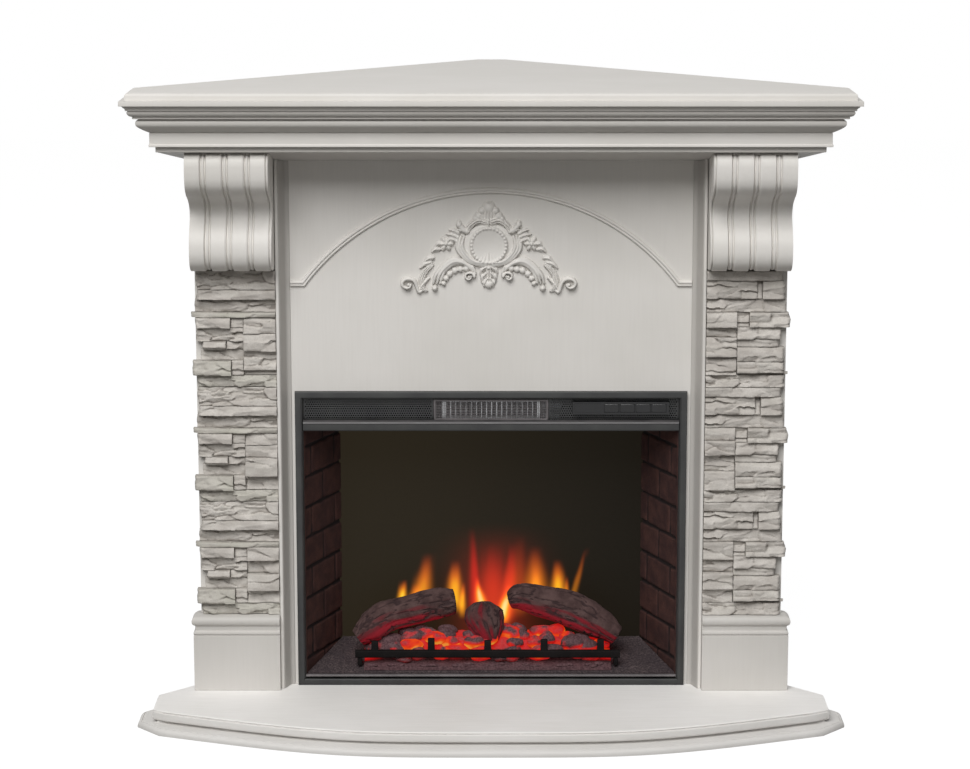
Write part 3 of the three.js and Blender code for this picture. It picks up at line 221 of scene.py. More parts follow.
def plasticMaterial(name, dark, light, roughness, grainDepth=0.00003, coat=0.0, sheen=0.5):
    return surface(name, {
        "noises": {"grain": (0.0009, 3), "wear": (0.03, 3)}, "base": dark,
        "layers": [("wear", 0.35, 0.7, light)], "rough": ("wear", roughness, roughness + 0.08),
        "specular": sheen, "bump": ("grain", grainDepth), "sockets": {"Coat Weight": coat},
    })


def metalMaterial(name, dark, light, roughness, stretch):
    return surface(name, {
        "noises": {"brushed": (0.003, 5, stretch)}, "base": dark, "layers": [("brushed", 0.3, 0.7, light)],
        "rough": ("brushed", roughness, roughness + 0.15), "bump": ("brushed", 0.00004),
        "sockets": {"Metallic": 1.0},
    })


# circuit board: green lacquer with paler copper runs, from stripes broken up by cells
def circuitMaterial():
    material, put = startMaterial("circuitBoard")
    where = put("TexCoord").outputs["Object"]
    cells = put("TexVoronoi", {"Vector": where, "Scale": 220.0}, distance="MANHATTAN")
    runs = put("TexWave", {"Vector": where, "Scale": 90.0, "Distortion": 1.5}, bands_direction="DIAGONAL")
    stripes = runs.outputs["Fac"]
    tone = mixColour(put, ramp(put, stripes, 0.72, 0.8), (28, 84, 50), (62, 122, 74))
    tone = mixColour(put, ramp(put, cells.outputs["Distance"], 0.06, 0.1), (196, 190, 150), tone)
    finishMaterial(put, {
        "Base Color": tone, "Roughness": ramp(put, stripes, 0, 1, 0.3, 0.42),
        "Normal": bumpOf(put, stripes, 0.00005),
    })
    return material


def brickMaterial():
    return surface("firebrick", {
        "noises": {"clouds": (0.03, 5), "grit": (0.002, 4)}, "base": (52, 33, 32),
        "layers": [("clouds", 0.3, 0.7, (76, 50, 45)), ("grit", 0.4, 0.75, 0, 0.5, (40, 28, 27)),
                   ("mortar", 0.2, 0.9, (26, 19, 19))],
        "rough": 0.86, "specular": 0.25, "bump": ("grit", 0.0007),
    })


def ashMaterial():
    return surface("ashBed", {
        "noises": {"clouds": (0.04, 3), "grit": (0.003, 5)}, "base": (80, 70, 72),
        "layers": [("clouds", 0.3, 0.7, (100, 88, 88)), ("grit", 0.35, 0.7, 1, 0, (50, 43, 46))],
        "rough": 0.92, "specular": 0.2, "bump": ("grit", 0.0016),
    })


# bark: grey-brown ridges over dark fissures; where the coals' light would fall, painted firelight reddens it
# and makes it glow dull red
def barkMaterial():
    return surface("charredBark", {
        "noises": {"clouds": (0.02, 5), "grit": (0.002, 4)}, "base": (60, 43, 42),
        "layers": [("clouds", 0.3, 0.7, (88, 68, 66)), ("fissure", 0.2, 0.9, 0, 0.75, (40, 27, 29)),
                   ("warmth", 0, 0.6, (82, 22, 30))],
        "glow": [("warmth", 0.1, 1, (150, 14, 28))],
        "rough": 0.88, "specular": 0.25, "bump": ("grit", 0.0009), "sockets": {"Emission Strength": 0.42},
    })


# coals: pink-grey crust over a glow that runs from deep red through orange to yellow
def emberMaterial():
    return surface("glowingCoals", {
        "noises": {"grit": (0.0035, 4)}, "base": (70, 48, 52),
        "layers": [("grit", 0.3, 0.7, (104, 78, 81)), ("warmth", 0.15, 0.7, (120, 16, 12))],
        "glow": [("warmth", 0.1, 0.5, (214, 16, 14)), ("warmth", 0.5, 0.8, (250, 84, 14)),
                 ("warmth", 0.8, 1, (255, 168, 60))],
        "rough": 0.85, "specular": 0.25, "bump": ("grit", 0.0007), "sockets": {"Emission Strength": 0.64},
    })


def screenMaterial():
    return surface("flameScreen", {
        "noises": {"grain": (0.004, 3)}, "base": (7, 6, 5), "layers": [("grain", 0.3, 0.7, (11, 9, 7))],
        "glow": "glow", "rough": 0.6, "specular": 0.1, "bump": ("grain", 0.00005),
        "sockets": {"Emission Strength": 1.0},
    })


# white for the camera and for mirrors, soft light for everything else
def makeWorld():
    sky = {"fill": 0.18, "tint": (1.0, 0.995, 0.985, 1)}
    world = bpy.data.worlds.new("studio")
    world.use_nodes = True
    world.node_tree.nodes.clear()
    put = nodeMaker(world.node_tree)
    rays = put("LightPath").outputs
    seen = put("Math", {0: rays["Is Camera Ray"], 1: rays["Is Glossy Ray"]}, operation="MAXIMUM")
    seen = put("Math", {0: seen.outputs[0], 1: rays["Is Transmission Ray"]}, operation="MAXIMUM")
    soft = put("Background", {"Color": sky["tint"], "Strength": sky["fill"]})
    white = put("Background", {"Color": (1, 1, 1, 1), "Strength": 1.0})
    both = put("MixShader", {0: seen.outputs[0], 1: soft.outputs[0], 2: white.outputs[0]})
    put("OutputWorld", {"Surface": both.outputs[0]})
    bpy.context.scene.world = world


# plain floor: its own white with a faint share of real light to the camera, so that it keeps
# a shadow; darker to all other rays, so that little light comes up from it
def makeFloor():
    size = {"half": 9.0, "ownLight": 0.9, "glow": 1.08, "seen": (250, 250, 249), "bounce": (118, 117, 115)}
    mesh = bpy.data.meshes.new("studioFloor")
    half = size["half"]
    corners = [(-half, -half, 0), (half, -half, 0), (half, half, 0), (-half, half, 0)]
    mesh.from_pydata(corners, [], [(0, 1, 2, 3)])
    floor = bpy.data.objects.new("studioFloor", mesh)
    bpy.context.scene.collection.objects.link(floor)
    material, put = startMaterial("studioWhite")
    rays = put("LightPath").outputs
    seen = put("Math", {0: rays["Is Camera Ray"], 1: rays["Is Glossy Ray"]}, operation="MAXIMUM")
    dark = put("BsdfDiffuse", {"Color": shade(*size["bounce"])})
    lit = put("BsdfDiffuse", {"Color": shade(*size["seen"])})
    own = put("Emission", {"Color": (1, 1, 1, 1), "Strength": size["glow"]})
    white = put("MixShader", {0: size["ownLight"], 1: lit.outputs[0], 2: own.outputs[0]})
    both = put("MixShader", {0: seen.outputs[0], 1: dark.outputs[0], 2: white.outputs[0]})
    put("OutputMaterial", {"Surface": both.outputs[0]})
    mesh.materials.append(material)


# a skin is its points and sets of faces, turned so that its volume, the sum of
# p0 . (p1 x p2) over its triangles, is positive and the faces point outwards
def skin(points, *faceSets):
    points = np.asarray(points, float)
    faceSets = [np.atleast_2d(np.asarray(rows, np.int64)) for rows in faceSets]
    centred = points - points.mean(axis=0)
    volume = 0.0
    for rows in faceSets:
        for k in range(1, rows.shape[1] - 1):
            side = np.cross(centred[rows[:, k]], centred[rows[:, k + 1]])
            volume += np.einsum("ij,ij->", centred[rows[:, 0]], side)
    if volume < 0:
        faceSets = [rows[:, ::-1] for rows in faceSets]
    return points, faceSets


def together(*skins):
    points, sets, start = [], [], 0
    for part, rows in skins:
        points.append(part)
        sets += [row + start for row in rows]
        start += len(part)
    return np.vstack(points), sets


def moved(whole, dx=0.0, dy=0.0, dz=0.0):
    return whole[0] + [dx, dy, dz], whole[1]


def mirrored(whole):
    return whole[0] * [-1, 1, 1], [rows[:, ::-1] for rows in whole[1]]


# the quads between neighbours of a grid numbered row by row; around joins the last column
# to the first, and closed the last row too
def gridFaces(rows, columns, around=False, closed=False):
    r = np.arange(rows if closed else rows - 1)[:, None]
    c = np.arange(columns if around else columns - 1)[None, :]
    up = ((r + 1) % rows) * columns
    right = (c + 1) % columns
    return np.stack([r * columns + c, r * columns + right, up + right, up + c], -1).reshape(-1, 4)


# rings of equal point count become one closed body with a flat face at each end
def ringSkin(rings):
    levels, count = rings.shape[:2]
    first = np.arange(count)
    return skin(rings.reshape(-1, 3), gridFaces(levels, count, True),
                first[::-1], first + (levels - 1) * count)


# outlines in plan at their heights: layers is a list of (outline, z)
def stackSkin(layers):
    return ringSkin(np.array([np.column_stack([flat, np.full(len(flat), z)]) for flat, z in layers]))


# a plate: a grid of points is its face; behind() turns the points of the grid's border into
# the rings behind it, and the last ring is closed by one flat face
def plateSkin(grid, behind):
    rows, columns = grid.shape[:2]
    points = grid.reshape(-1, 3)
    index = np.arange(rows * columns).reshape(rows, columns)
    rim = np.concatenate([index[0, :-1], index[:-1, -1], index[-1, :0:-1], index[:0:-1, 0]])
    rings = behind(points[rim])
    count, total = len(rim), len(points)
    numbers = np.concatenate([rim, total + np.arange(len(rings) * count)])
    walls = numbers[gridFaces(len(rings) + 1, count, True)]
    return skin(np.vstack([points, *rings]), gridFaces(rows, columns)[:, ::-1], walls, numbers[-count:])


# a rectangular frame: each line of its profile is a rectangle (half width, y, low, high)
def frameSkin(lines):
    rings = np.array([[[-half, y, low], [half, y, low], [half, y, high], [-half, y, high]]
                      for half, y, low, high in lines])
    return skin(rings.reshape(-1, 3), gridFaces(len(rings), 4, True, True))


# the directed edges of the faces whose reverse belongs to no face
def openEdges(count, *faceSets):
    edges = np.concatenate([rows[:, [i, (i + 1) % rows.shape[1]]] for rows in faceSets
                            for i in range(rows.shape[1])])
    forward, backward = (edges[:, i] * count + edges[:, 1 - i] for i in (0, 1))
    return edges[~np.isin(forward, backward)]


# each corner of an outline becomes a short curve (1-t)^2 a + 2 t (1-t) corner + t^2 b
def roundCorners(outline, radius, steps=4):
    corner = np.asarray(outline, float)
    back = np.roll(corner, 1, 0) - corner
    ahead = np.roll(corner, -1, 0) - corner
    backLength = np.linalg.norm(back, axis=1)[:, None]
    aheadLength = np.linalg.norm(ahead, axis=1)[:, None]
    reach = np.minimum(radius, 0.45 * np.minimum(backLength, aheadLength))
    a = (corner + back / backLength * reach)[:, None]
    b = (corner + ahead / aheadLength * reach)[:, None]
    t = np.linspace(0, 1, steps + 1)[None, :, None]
    return ((1 - t) ** 2 * a + 2 * t * (1 - t) * corner[:, None] + t ** 2 * b).reshape(-1, 2)


def arcPoints(cx, cy, rx, ry, start, end, steps):
    angle = np.radians(np.linspace(start, end, steps + 1))
    return np.column_stack([cx + rx * np.cos(angle), cy + ry * np.sin(angle)])


# smooth curve through the knots: cubic pieces whose slope at a knot is half the step
# between its neighbours
def smoothCurve(knots, count):
    knots = np.asarray(knots, float)
    padded = np.vstack([2 * knots[0] - knots[1], knots, 2 * knots[-1] - knots[-2]])
    place = np.linspace(0, len(knots) - 1, count)
    k = np.minimum(place.astype(int), len(knots) - 2)
    t = (place - k)[:, None]
    p0, p1, p2, p3 = (padded[k + i] for i in range(4))
    return 0.5 * (2 * p1 + (p2 - p0) * t + (2 * p0 - 5 * p1 + 4 * p2 - p3) * t ** 2
                  + (3 * p1 - p0 - 3 * p2 + p3) * t ** 3)


# a bar along x: the outline is (y, z)
def barSkin(outline, x0, x1):
    x = np.array([x0, x1], float)
    rings = np.empty((len(x), len(outline), 3))
    rings[..., 0] = x[:, None]
    rings[..., 1:] = np.asarray(outline)[None]
    return ringSkin(rings)


def box(x0, x1, y0, y1, z0, z1, edge=0.6):
    flat = roundCorners([[y0, z0], [y1, z0], [y1, z1], [y0, z1]], edge, 2)
    middle = np.array([(y0 + y1) / 2, (z0 + z1) / 2])
    half = np.array([(y1 - y0) / 2, (z1 - z0) / 2])
    small = middle + (flat - middle) * (half - edge) / half
    x = [x0, x0 + edge, x1 - edge, x1]
    rings = [np.column_stack([np.full(len(f), at), f]) for at, f in zip(x, (small, flat, flat, small))]
    return ringSkin(np.array(rings))


def weld(whole):
    points, sets = whole
    _, first, same = np.unique(np.round(points, 4), axis=0, return_index=True, return_inverse=True)
    same = same.ravel()
    return points[first], [same[rows] for rows in sets]


# a repeatable value 0..1 for each whole-numbered place, from mixed whole numbers
def placeValue(place, seed):
    mixed = (place[..., 0] * 73856093) ^ (place[..., 1] * 19349663) ^ (place[..., 2] * 83492791)
    mixed = (mixed ^ (seed * 40503 + 977)) & 0xffffffff
    mixed = ((mixed ^ (mixed >> 13)) * 1274126177) & 0xffffffff
    return (mixed ^ (mixed >> 16)) / 4294967295


# smooth noise -1..1: corner values of a lattice cell blended by 3t^2 - 2t^3 along each axis
def smoothNoise(points, size, seed=0):
    place = np.asarray(points, float) / size
    low = np.floor(place).astype(np.int64)
    share = place - low
    share = share * share * (3 - 2 * share)
    total = 0.0
    for corner in itertools.product((0, 1), repeat=3):
        weight = np.prod(np.where(np.array(corner, bool), share, 1 - share), axis=-1)
        total = total + weight * placeValue(low + np.array(corner), seed)
    return 2 * total - 1


# layers of smooth noise, each half as coarse and half as strong as the one before
def layeredNoise(points, size, layers, seed):
    total, whole = 0.0, 0.0
    for k in range(layers):
        total = total + 0.5 ** k * smoothNoise(points, np.asarray(size, float) / 2 ** k, seed + 31 * k)
        whole += 0.5 ** k
    return total / whole


def smoothStep(value, low, high):
    t = np.clip((value - low) / (high - low), 0, 1)
    return t * t * (3 - 2 * t)


# makes the object of a skin; values are one number or colour for each point
def addPiece(name, whole, material, replaces=(), body="fireplace", sharp=32, values=None):
    points, faceSets = whole
    placed = (points + [0, panelPlane, 0]) * 0.001
    corners = np.concatenate([rows.ravel() for rows in faceSets]).astype(np.int32)
    sizes = np.concatenate([np.full(len(rows), rows.shape[1]) for rows in faceSets])
    mesh = bpy.data.meshes.new(name)
    mesh.vertices.add(len(placed))
    mesh.vertices.foreach_set("co", placed.astype(np.float32).ravel())
    mesh.loops.add(len(corners))
    mesh.loops.foreach_set("vertex_index", corners)
    mesh.polygons.add(len(sizes))
    mesh.polygons.foreach_set("loop_start", (np.cumsum(sizes) - sizes).astype(np.int32))
    mesh.update(calc_edges=True)
    mesh.shade_smooth()
    mesh.set_sharp_from_angle(angle=math.radians(sharp))
    for key, value in (values or {}).items():
        value = np.asarray(value, np.float32)
        kind, field = ("FLOAT_COLOR", "color") if value.ndim == 2 else ("FLOAT", "value")
        mesh.attributes.new(key, kind, "POINT").data.foreach_set(field, value.ravel())
    mesh.materials.append(material)
    made = bpy.data.objects.new(name, mesh)
    bpy.context.scene.collection.objects.link(made)
    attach(made, body)
    if replaces:
        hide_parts(*replaces)


def dress(material, *names):
    for name in names:
        mesh = cadNodes[name].data
        mesh.materials.clear()
        mesh.materials.append(material)


# plan outline of a board that fills the corner: straight front and sides, two wall edges
def cornerBoard(halfWidth, front, radius=1.2):
    wall = wallLine - halfWidth
    apex = wallLine - apexHalf
    return roundCorners([
        [-halfWidth, -front], [halfWidth, -front], [halfWidth, wall],
        [apexHalf, apex], [-apexHalf, apex], [-halfWidth, wall],
    ], radius)


# plan outline of a strip along the front and both sides
def wrapStrip(halfWidth, front, innerHalf, innerFront, radius=1.0):
    outer, inner = wallLine - halfWidth, wallLine - innerHalf
    return roundCorners([
        [-halfWidth, -front], [halfWidth, -front], [halfWidth, outer], [innerHalf, inner],
        [innerHalf, -innerFront], [-innerHalf, -innerFront], [-innerHalf, inner], [-halfWidth, outer],
    ], radius)


# bow front: half of it is a cubic curve from the middle to the corner, moved out along its
# own normal by offset
def bowFront(offset, bow, steps=44):
    t = np.linspace(0, 1, steps + 1)[:, None]
    a, b, c, d = (np.array(p, float) for p in (
        (0, -bow["front"]), (bow["straight"], -bow["front"]),
        (bow["halfWidth"] - bow["cornerHandle"], -bow["front"]), (bow["halfWidth"], -bow["cornerFront"]),
    ))
    place = (1 - t) ** 3 * a + 3 * t * (1 - t) ** 2 * b + 3 * t * t * (1 - t) * c + t ** 3 * d
    along = 3 * (1 - t) ** 2 * (b - a) + 6 * t * (1 - t) * (c - b) + 3 * t * t * (d - c)
    along = along / np.linalg.norm(along, axis=1)[:, None]
    right = place + offset * np.column_stack([along[:, 1], -along[:, 0]])
    slope = bow["cornerFront"] / bow["halfWidth"]
    right[-1] = [bow["halfWidth"] + offset, place[-1, 1] + offset * slope]
    past = right[:, 0] >= right[-1, 0] - 0.5
    past[-1] = False
    right[past] = right[-1] - [0.5, 0]
    left = right[:0:-1] * [-1, 1]
    return np.vstack([left, right])


def makeHearth(paint, board):
    bow = {"halfWidth": 583, "front": 274, "cornerFront": 152, "straight": 250, "cornerHandle": 307}
    slab = {"edgeTop": 31, "edgeShade": 0.26, "profile": [  # how far out of the slab's edge, and height
        (-2.4, 16.8), (3.4, 16.9), (5.6, 17.6), (6.7, 19), (7, 21), (7, 29), (6.7, 30.2), (6, 30.9),
        (3.2, 31), (3, 32.2), (4.8, 32.6), (5.1, 33.6), (4.6, 34.6), (3.4, 35), (0, 35)]}
    layers = []
    for out, z in slab["profile"]:
        side = bow["halfWidth"] + out
        apex = wallLine - apexHalf
        layers.append((np.vstack([
            bowFront(out, bow), [[side, wallLine - side], [apexHalf, apex], [-apexHalf, apex],
                                 [-side, wallLine - side]],
        ]), z))
    whole = stackSkin(layers)
    # painted shade: the slab's edge below edgeTop is greyer
    addPiece("hearthSlab", whole, paint, ("hearth_slab",),
             values={"recess": slab["edgeShade"] * (whole[0][:, 2] < slab["edgeTop"])})

    skirt = {"inner": -26, "shade": 0.32, "coveFrom": 11.9, "coveShade": 0.12, "profile": [
        (34, 0), (34, 3), (33.4, 6), (31.9, 8.6), (29.6, 10.2), (27.4, 10.8), (27, 9.4), (25.6, 9.4),
        (25.2, 11), (23.6, 11.4), (16, 11.5), (8.4, 11.6), (3.4, 11.8), (0.4, 12.3), (-2, 13.8), (-3.2, 16.5)]}
    inner = bowFront(skirt["inner"], bow)[::-1]
    innerSide = bow["halfWidth"] + skirt["inner"]
    layers = []
    for out, z in skirt["profile"]:
        side = bow["halfWidth"] + out
        layers.append((np.vstack([
            bowFront(out, bow), [[side, wallLine - side], [innerSide, wallLine - innerSide]],
            inner, [[-innerSide, wallLine - innerSide], [-side, wallLine - side]],
        ]), z))
    whole = stackSkin(layers)
    # painted shade: the whole skirt is greyer, and more so above coveFrom, in the cove under the slab
    addPiece("hearthSkirt", whole, paint, ("hearth_skirt",),
             values={"recess": skirt["shade"] + skirt["coveShade"] * (whole[0][:, 2] > skirt["coveFrom"])})
    dress(board, "hearth_base")
    print("hearth done")


def makeCornice(paint, shadedPaint):
    shelf = {"half": 608, "front": 187, "bottom": 1098, "top": 1110, "nose": 5}
    nose = arcPoints(-shelf["nose"], shelf["top"] - shelf["nose"], shelf["nose"], shelf["nose"], 0, 90, 8)
    profile = [(0, shelf["bottom"]), *nose.tolist()]
    def boards(look, profile):
        return stackSkin([(cornerBoard(look["half"] + out, look["front"] + out), z) for out, z in profile])

    addPiece("shelfTop", boards(shelf, profile), paint, ("shelf_top",))
    apron = {"half": 617, "front": 196, "shade": 0.2, "profile": [
        (-0.3, 1089.3), (0, 1089.6), (0, 1096.8), (-0.4, 1097.6), (-1.2, 1097.9), (-3, 1097.9)]}
    whole = boards(apron, apron["profile"])
    # painted shade: the apron is evenly greyer
    addPiece("shelfApron", whole, shadedPaint, ("shelf_apron",),
             values={"recess": np.full(len(whole[0]), apron["shade"])})

    frieze = {"half": 572, "front": 151, "board": 18}
    innerHalf, innerFront = frieze["half"] - frieze["board"], frieze["front"] - frieze["board"]

    def around(profile):
        return stackSkin([
            (wrapStrip(frieze["half"] + out, frieze["front"] + out, innerHalf, innerFront), z)
            for out, z in profile
        ])

    # from the foot up: ovolo, quirk, fillet, second ovolo with a line, slanted fillet
    crown = {"shade": 0.2, "upperFrom": 1069, "upperShade": 0.16, "lowerTo": 1055, "lowerShade": 0.12}
    crown["profile"] = [
        (0, 1041.3), (1.2, 1041.9), (6, 1044.4), (12, 1048.2), (16.6, 1051.4), (19.2, 1054), (20.3, 1056.6),
        (20.5, 1060), (19.9, 1062), (18.4, 1063), (15.4, 1063.4), (15.2, 1065.6), (17, 1066), (24, 1066.2),
        (24.9, 1066.8), (24.9, 1069.4), (24.3, 1070), (26, 1070.4), (29.6, 1071.8), (32, 1074.6), (33, 1077),
        (32.8, 1078.4), (31.6, 1079.2), (31.6, 1080.2), (34.6, 1080.6), (35.2, 1081.4), (35.4, 1083.6),
        (36.2, 1084.6), (38.6, 1086.6), (40.4, 1089.2)]
    whole = around(crown["profile"])
    height = whole[0][:, 2]
    # painted shade: the crown is greyer all over, and more so above upperFrom and below lowerTo
    crownShade = crown["shade"] + crown["upperShade"] * (height > crown["upperFrom"])
    addPiece("crownMoulding", whole, shadedPaint, ("crown_moulding",),
             values={"recess": crownShade + crown["lowerShade"] * (height < crown["lowerTo"])})

    addPiece("friezeBoard", around([
        (0.6, 1017), (1.3, 1017.6), (1.3, 1020.6), (0.8, 1021.6), (0, 1022), (0, 1040), (-1, 1041),
    ]), paint, ("frieze_board",))

    bed = {"foot": 4, "bottom": 977, "slopeTop": 1006.7, "slopeHalf": 560, "slopeFront": 139,
           "stripHalf": 563, "stripFront": 142, "top": 1016.7, "footHalf": 517}

    def bedLayer(half, front, z):
        side = min(wallLine - half, -joint)
        shoulder = min(wallLine - joint, half - 0.2)
        return np.array([[-half, -front], [half, -front], [half, side], [shoulder, -joint],
                         [-shoulder, -joint], [-half, side]]), z

    under = stackSkin([
        bedLayer(bed["footHalf"], bed["foot"], bed["bottom"]),
        bedLayer(bed["slopeHalf"], bed["slopeFront"], bed["slopeTop"]),
        bedLayer(bed["stripHalf"] - 0.8, bed["stripFront"] - 0.8, bed["slopeTop"] + 0.3),
        bedLayer(bed["stripHalf"], bed["stripFront"], bed["slopeTop"] + 1.2),
        bedLayer(bed["stripHalf"], bed["stripFront"], bed["top"] - 0.8),
        bedLayer(bed["stripHalf"] - 0.8, bed["stripFront"] - 0.8, bed["top"]),
    ])
    # painted shade: the bed moulding is greyer, and more so on its sloped soffit
    addPiece("bedMoulding", under, shadedPaint, ("bed_moulding",),
             values={"recess": 0.2 + 0.3 * (under[0][:, 2] < bed["slopeTop"] + 0.1)})
    print("cornice done")


def addPair(name, right, material, node, values=None):
    addPiece(name + "Right", right, material, (node + "_right",), values=values)
    addPiece(name + "Left", mirrored(right), material, (node + "_left",), values=values)


def makePlinths(paint, shadedPaint):
    plinth = {"inner": 374, "outer": 527, "front": 42, "foot": 35.3, "top": 136.7}
    cap = {"profile": [
        (-2.0, 137), (-0.8, 137.6), (0, 138.8), (0.2, 141),
        (-0.6, 142.9), (-2.4, 143.9), (-3.2, 145), (-3, 152.6),
        (-1.6, 154.4), (0.8, 155.8), (2.2, 158), (3, 161.4),
        (2.8, 164.4), (1.8, 167), (-0.2, 169.2), (-4.4, 171),
    ]}

    def footprint(out):
        return roundCorners([
            [plinth["inner"], -plinth["front"] - out], [plinth["outer"] + out, -plinth["front"] - out],
            [plinth["outer"] + out, wallLine - plinth["outer"] - out], [wallLine - joint, -joint],
            [plinth["inner"], -joint],
        ], 1.0)

    foot, top = plinth["foot"], plinth["top"]
    block = stackSkin([(footprint(-0.5), foot), (footprint(0), foot + 0.5), (footprint(0), top - 0.7),
                       (footprint(-0.7), top)])
    crest = stackSkin([(footprint(out), z) for out, z in cap["profile"]])
    # painted shade: plinth blocks and caps are evenly greyer
    addPair("plinthBlock", block, shadedPaint, "plinth_block",
            {"recess": np.full(len(block[0]), 0.3)})
    addPair("plinthCap", crest, shadedPaint, "plinth_cap",
            {"recess": np.full(len(crest[0]), 0.3)})

    strip = {"outer": 373.7, "front": 30, "foot": 35.3, "top": 976.7, "nose": [
        (350.5, 1.6), (350.9, 2.6), (352.6, 3), (355.2, 3.6), (357.6, 5),
        (359, 7.6), (361, 13), (363.2, 19.4),
        (365.3, 25), (366.2, 27.3), (367, 28.9), (368.2, 29.8), (369.4, 30)]}
    outline = np.array([
        [strip["nose"][0][0], -joint], *[[x, -out] for x, out in strip["nose"]],
        [strip["outer"] - 1.4, -strip["front"]], [strip["outer"] - 0.4, -strip["front"] + 0.5],
        [strip["outer"], -strip["front"] + 1.5], [strip["outer"], -joint],
    ])
    body = stackSkin([(outline, strip["foot"]), (outline, strip["top"])])
    lift = np.maximum(-outline[:, 1] - 5.5, 0) * 0.22  # the top follows the sloped soffit
    body[0][len(outline):, 2] += lift
    across = body[0][:, 0]
    # painted shade: the strip is greyer inwards of its outer edge, a little more on its turned face
    turned = smoothStep(across, 352, 360.5) * (1 - smoothStep(across, 366.5, 369)) * (body[0][:, 1] < -2)
    addPair("edgeStrip", body, shadedPaint, "edge_strip",
            {"recess": 0.55 * (across < 369) + 0.06 * turned})
    print("plinths and strips done")


# corbel: its side profile is moved inwards along its own normal by the depth of the reeds,
# which depends on x: flat bands between grooves that each hold a bead
def makeCorbels(paint):
    corbel = {
        "inner": 380, "outer": 516.5, "bands": 4, "beadWidth": 5, "groove": 12.2,
        "depth": 5.2, "bead": 3.4, "edge": 1.3,
        "foot": 788.7, "back": 14.6, "most": 139.5,
        "profile": [[34, .005], [52, .012], [68, .036], [79, .075], [85, .13], [86.5, .19], [84, .265],
                    [76, .34],
                    [66, .4], [60, .45], [61.5, .505], [72, .56], [93, .612], [115, .655],
                    [130, .705], [137, .765],
                    [139.3, .83], [139.5, .89], [137, .94], [131, .97], [124, .986]],
    }

    def soffit(out):
        return 977 + 29.7 * (out - 4) / 135 - joint

    height = soffit(corbel["most"]) - corbel["foot"]
    front = smoothCurve([[out, corbel["foot"] + share * height] for out, share in corbel["profile"]], 96)
    front[:, 0] = np.minimum(front[:, 0], corbel["most"])
    along = np.gradient(front, axis=0)
    along /= np.linalg.norm(along, axis=1)[:, None]
    inwards = np.column_stack([-along[:, 1], along[:, 0]])

    band = (corbel["outer"] - corbel["inner"] - 3 * corbel["groove"]) / corbel["bands"]
    pitch = band + corbel["groove"]
    bandShare = np.array([0, 0.06, 0.14, 0.5, 0.86, 0.94, 1])
    grooveShare = np.array([0.06, 0.13, 0.2, 0.28, 0.34, 0.42, 0.5, 0.58, 0.66, 0.72, 0.8, 0.87, 0.94])
    cells = [corbel["inner"] + i * pitch + bandShare * band for i in range(4)]
    grooves = [corbel["inner"] + i * pitch + band + grooveShare * corbel["groove"] for i in range(3)]
    sideShare = np.array([1, 0.94, 0.84, 0.7, 0.56, 0.42, 0.3, 0.2, 0.08])
    sideBead = corbel["inner"] - corbel["beadWidth"] * sideShare
    x = np.sort(np.concatenate(cells + grooves + [sideBead]))
    across = np.maximum(x - corbel["inner"], 0) % pitch
    inGroove = np.clip((across - band) / corbel["groove"], 0, 1)
    wall = smoothStep(np.minimum(inGroove, 1 - inGroove), 0, 0.2)
    beadShape = np.sqrt(np.clip(1 - ((inGroove - 0.5) / 0.22) ** 2, 0, 1))
    depth = corbel["depth"] * wall - corbel["bead"] * beadShape * (across > band)
    toEdge = np.minimum(np.minimum(across, np.abs(band - across)), corbel["edge"])
    depth = depth + np.where(across <= band, (corbel["edge"] - toEdge) ** 2 / corbel["edge"] * 0.8, 0)
    beside = np.clip((corbel["inner"] - x) / corbel["beadWidth"], 0, 1)  # half round along the inner edge
    roundEdge = 4.4 - 3.2 * np.sqrt(np.clip(1 - ((beside - 0.6) / 0.4) ** 2, 0, 1))
    depth = np.where(x < corbel["inner"], roundEdge, depth)

    rings = np.empty((len(x), len(front) + 3, 3))
    rings[..., 0] = x[:, None]
    shifted = front[None] + depth[:, None, None] * inwards[None]
    shifted[..., 0] = np.maximum(shifted[..., 0], corbel["back"] + 4)
    topOut = shifted[:, -1, 0]
    rings[:, 1:-2, 1] = -shifted[..., 0]
    rings[:, 1:-2, 2] = shifted[..., 1]
    rings[:, 0, 1:] = [-corbel["back"], corbel["foot"]]
    rings[:, -2, 1] = -topOut
    rings[:, -2, 2] = soffit(topOut)
    rings[:, -1, 1:] = [-corbel["back"], soffit(corbel["back"])]
    addPair("corbel", ringSkin(rings), paint, "corbel")
    print("corbels done")


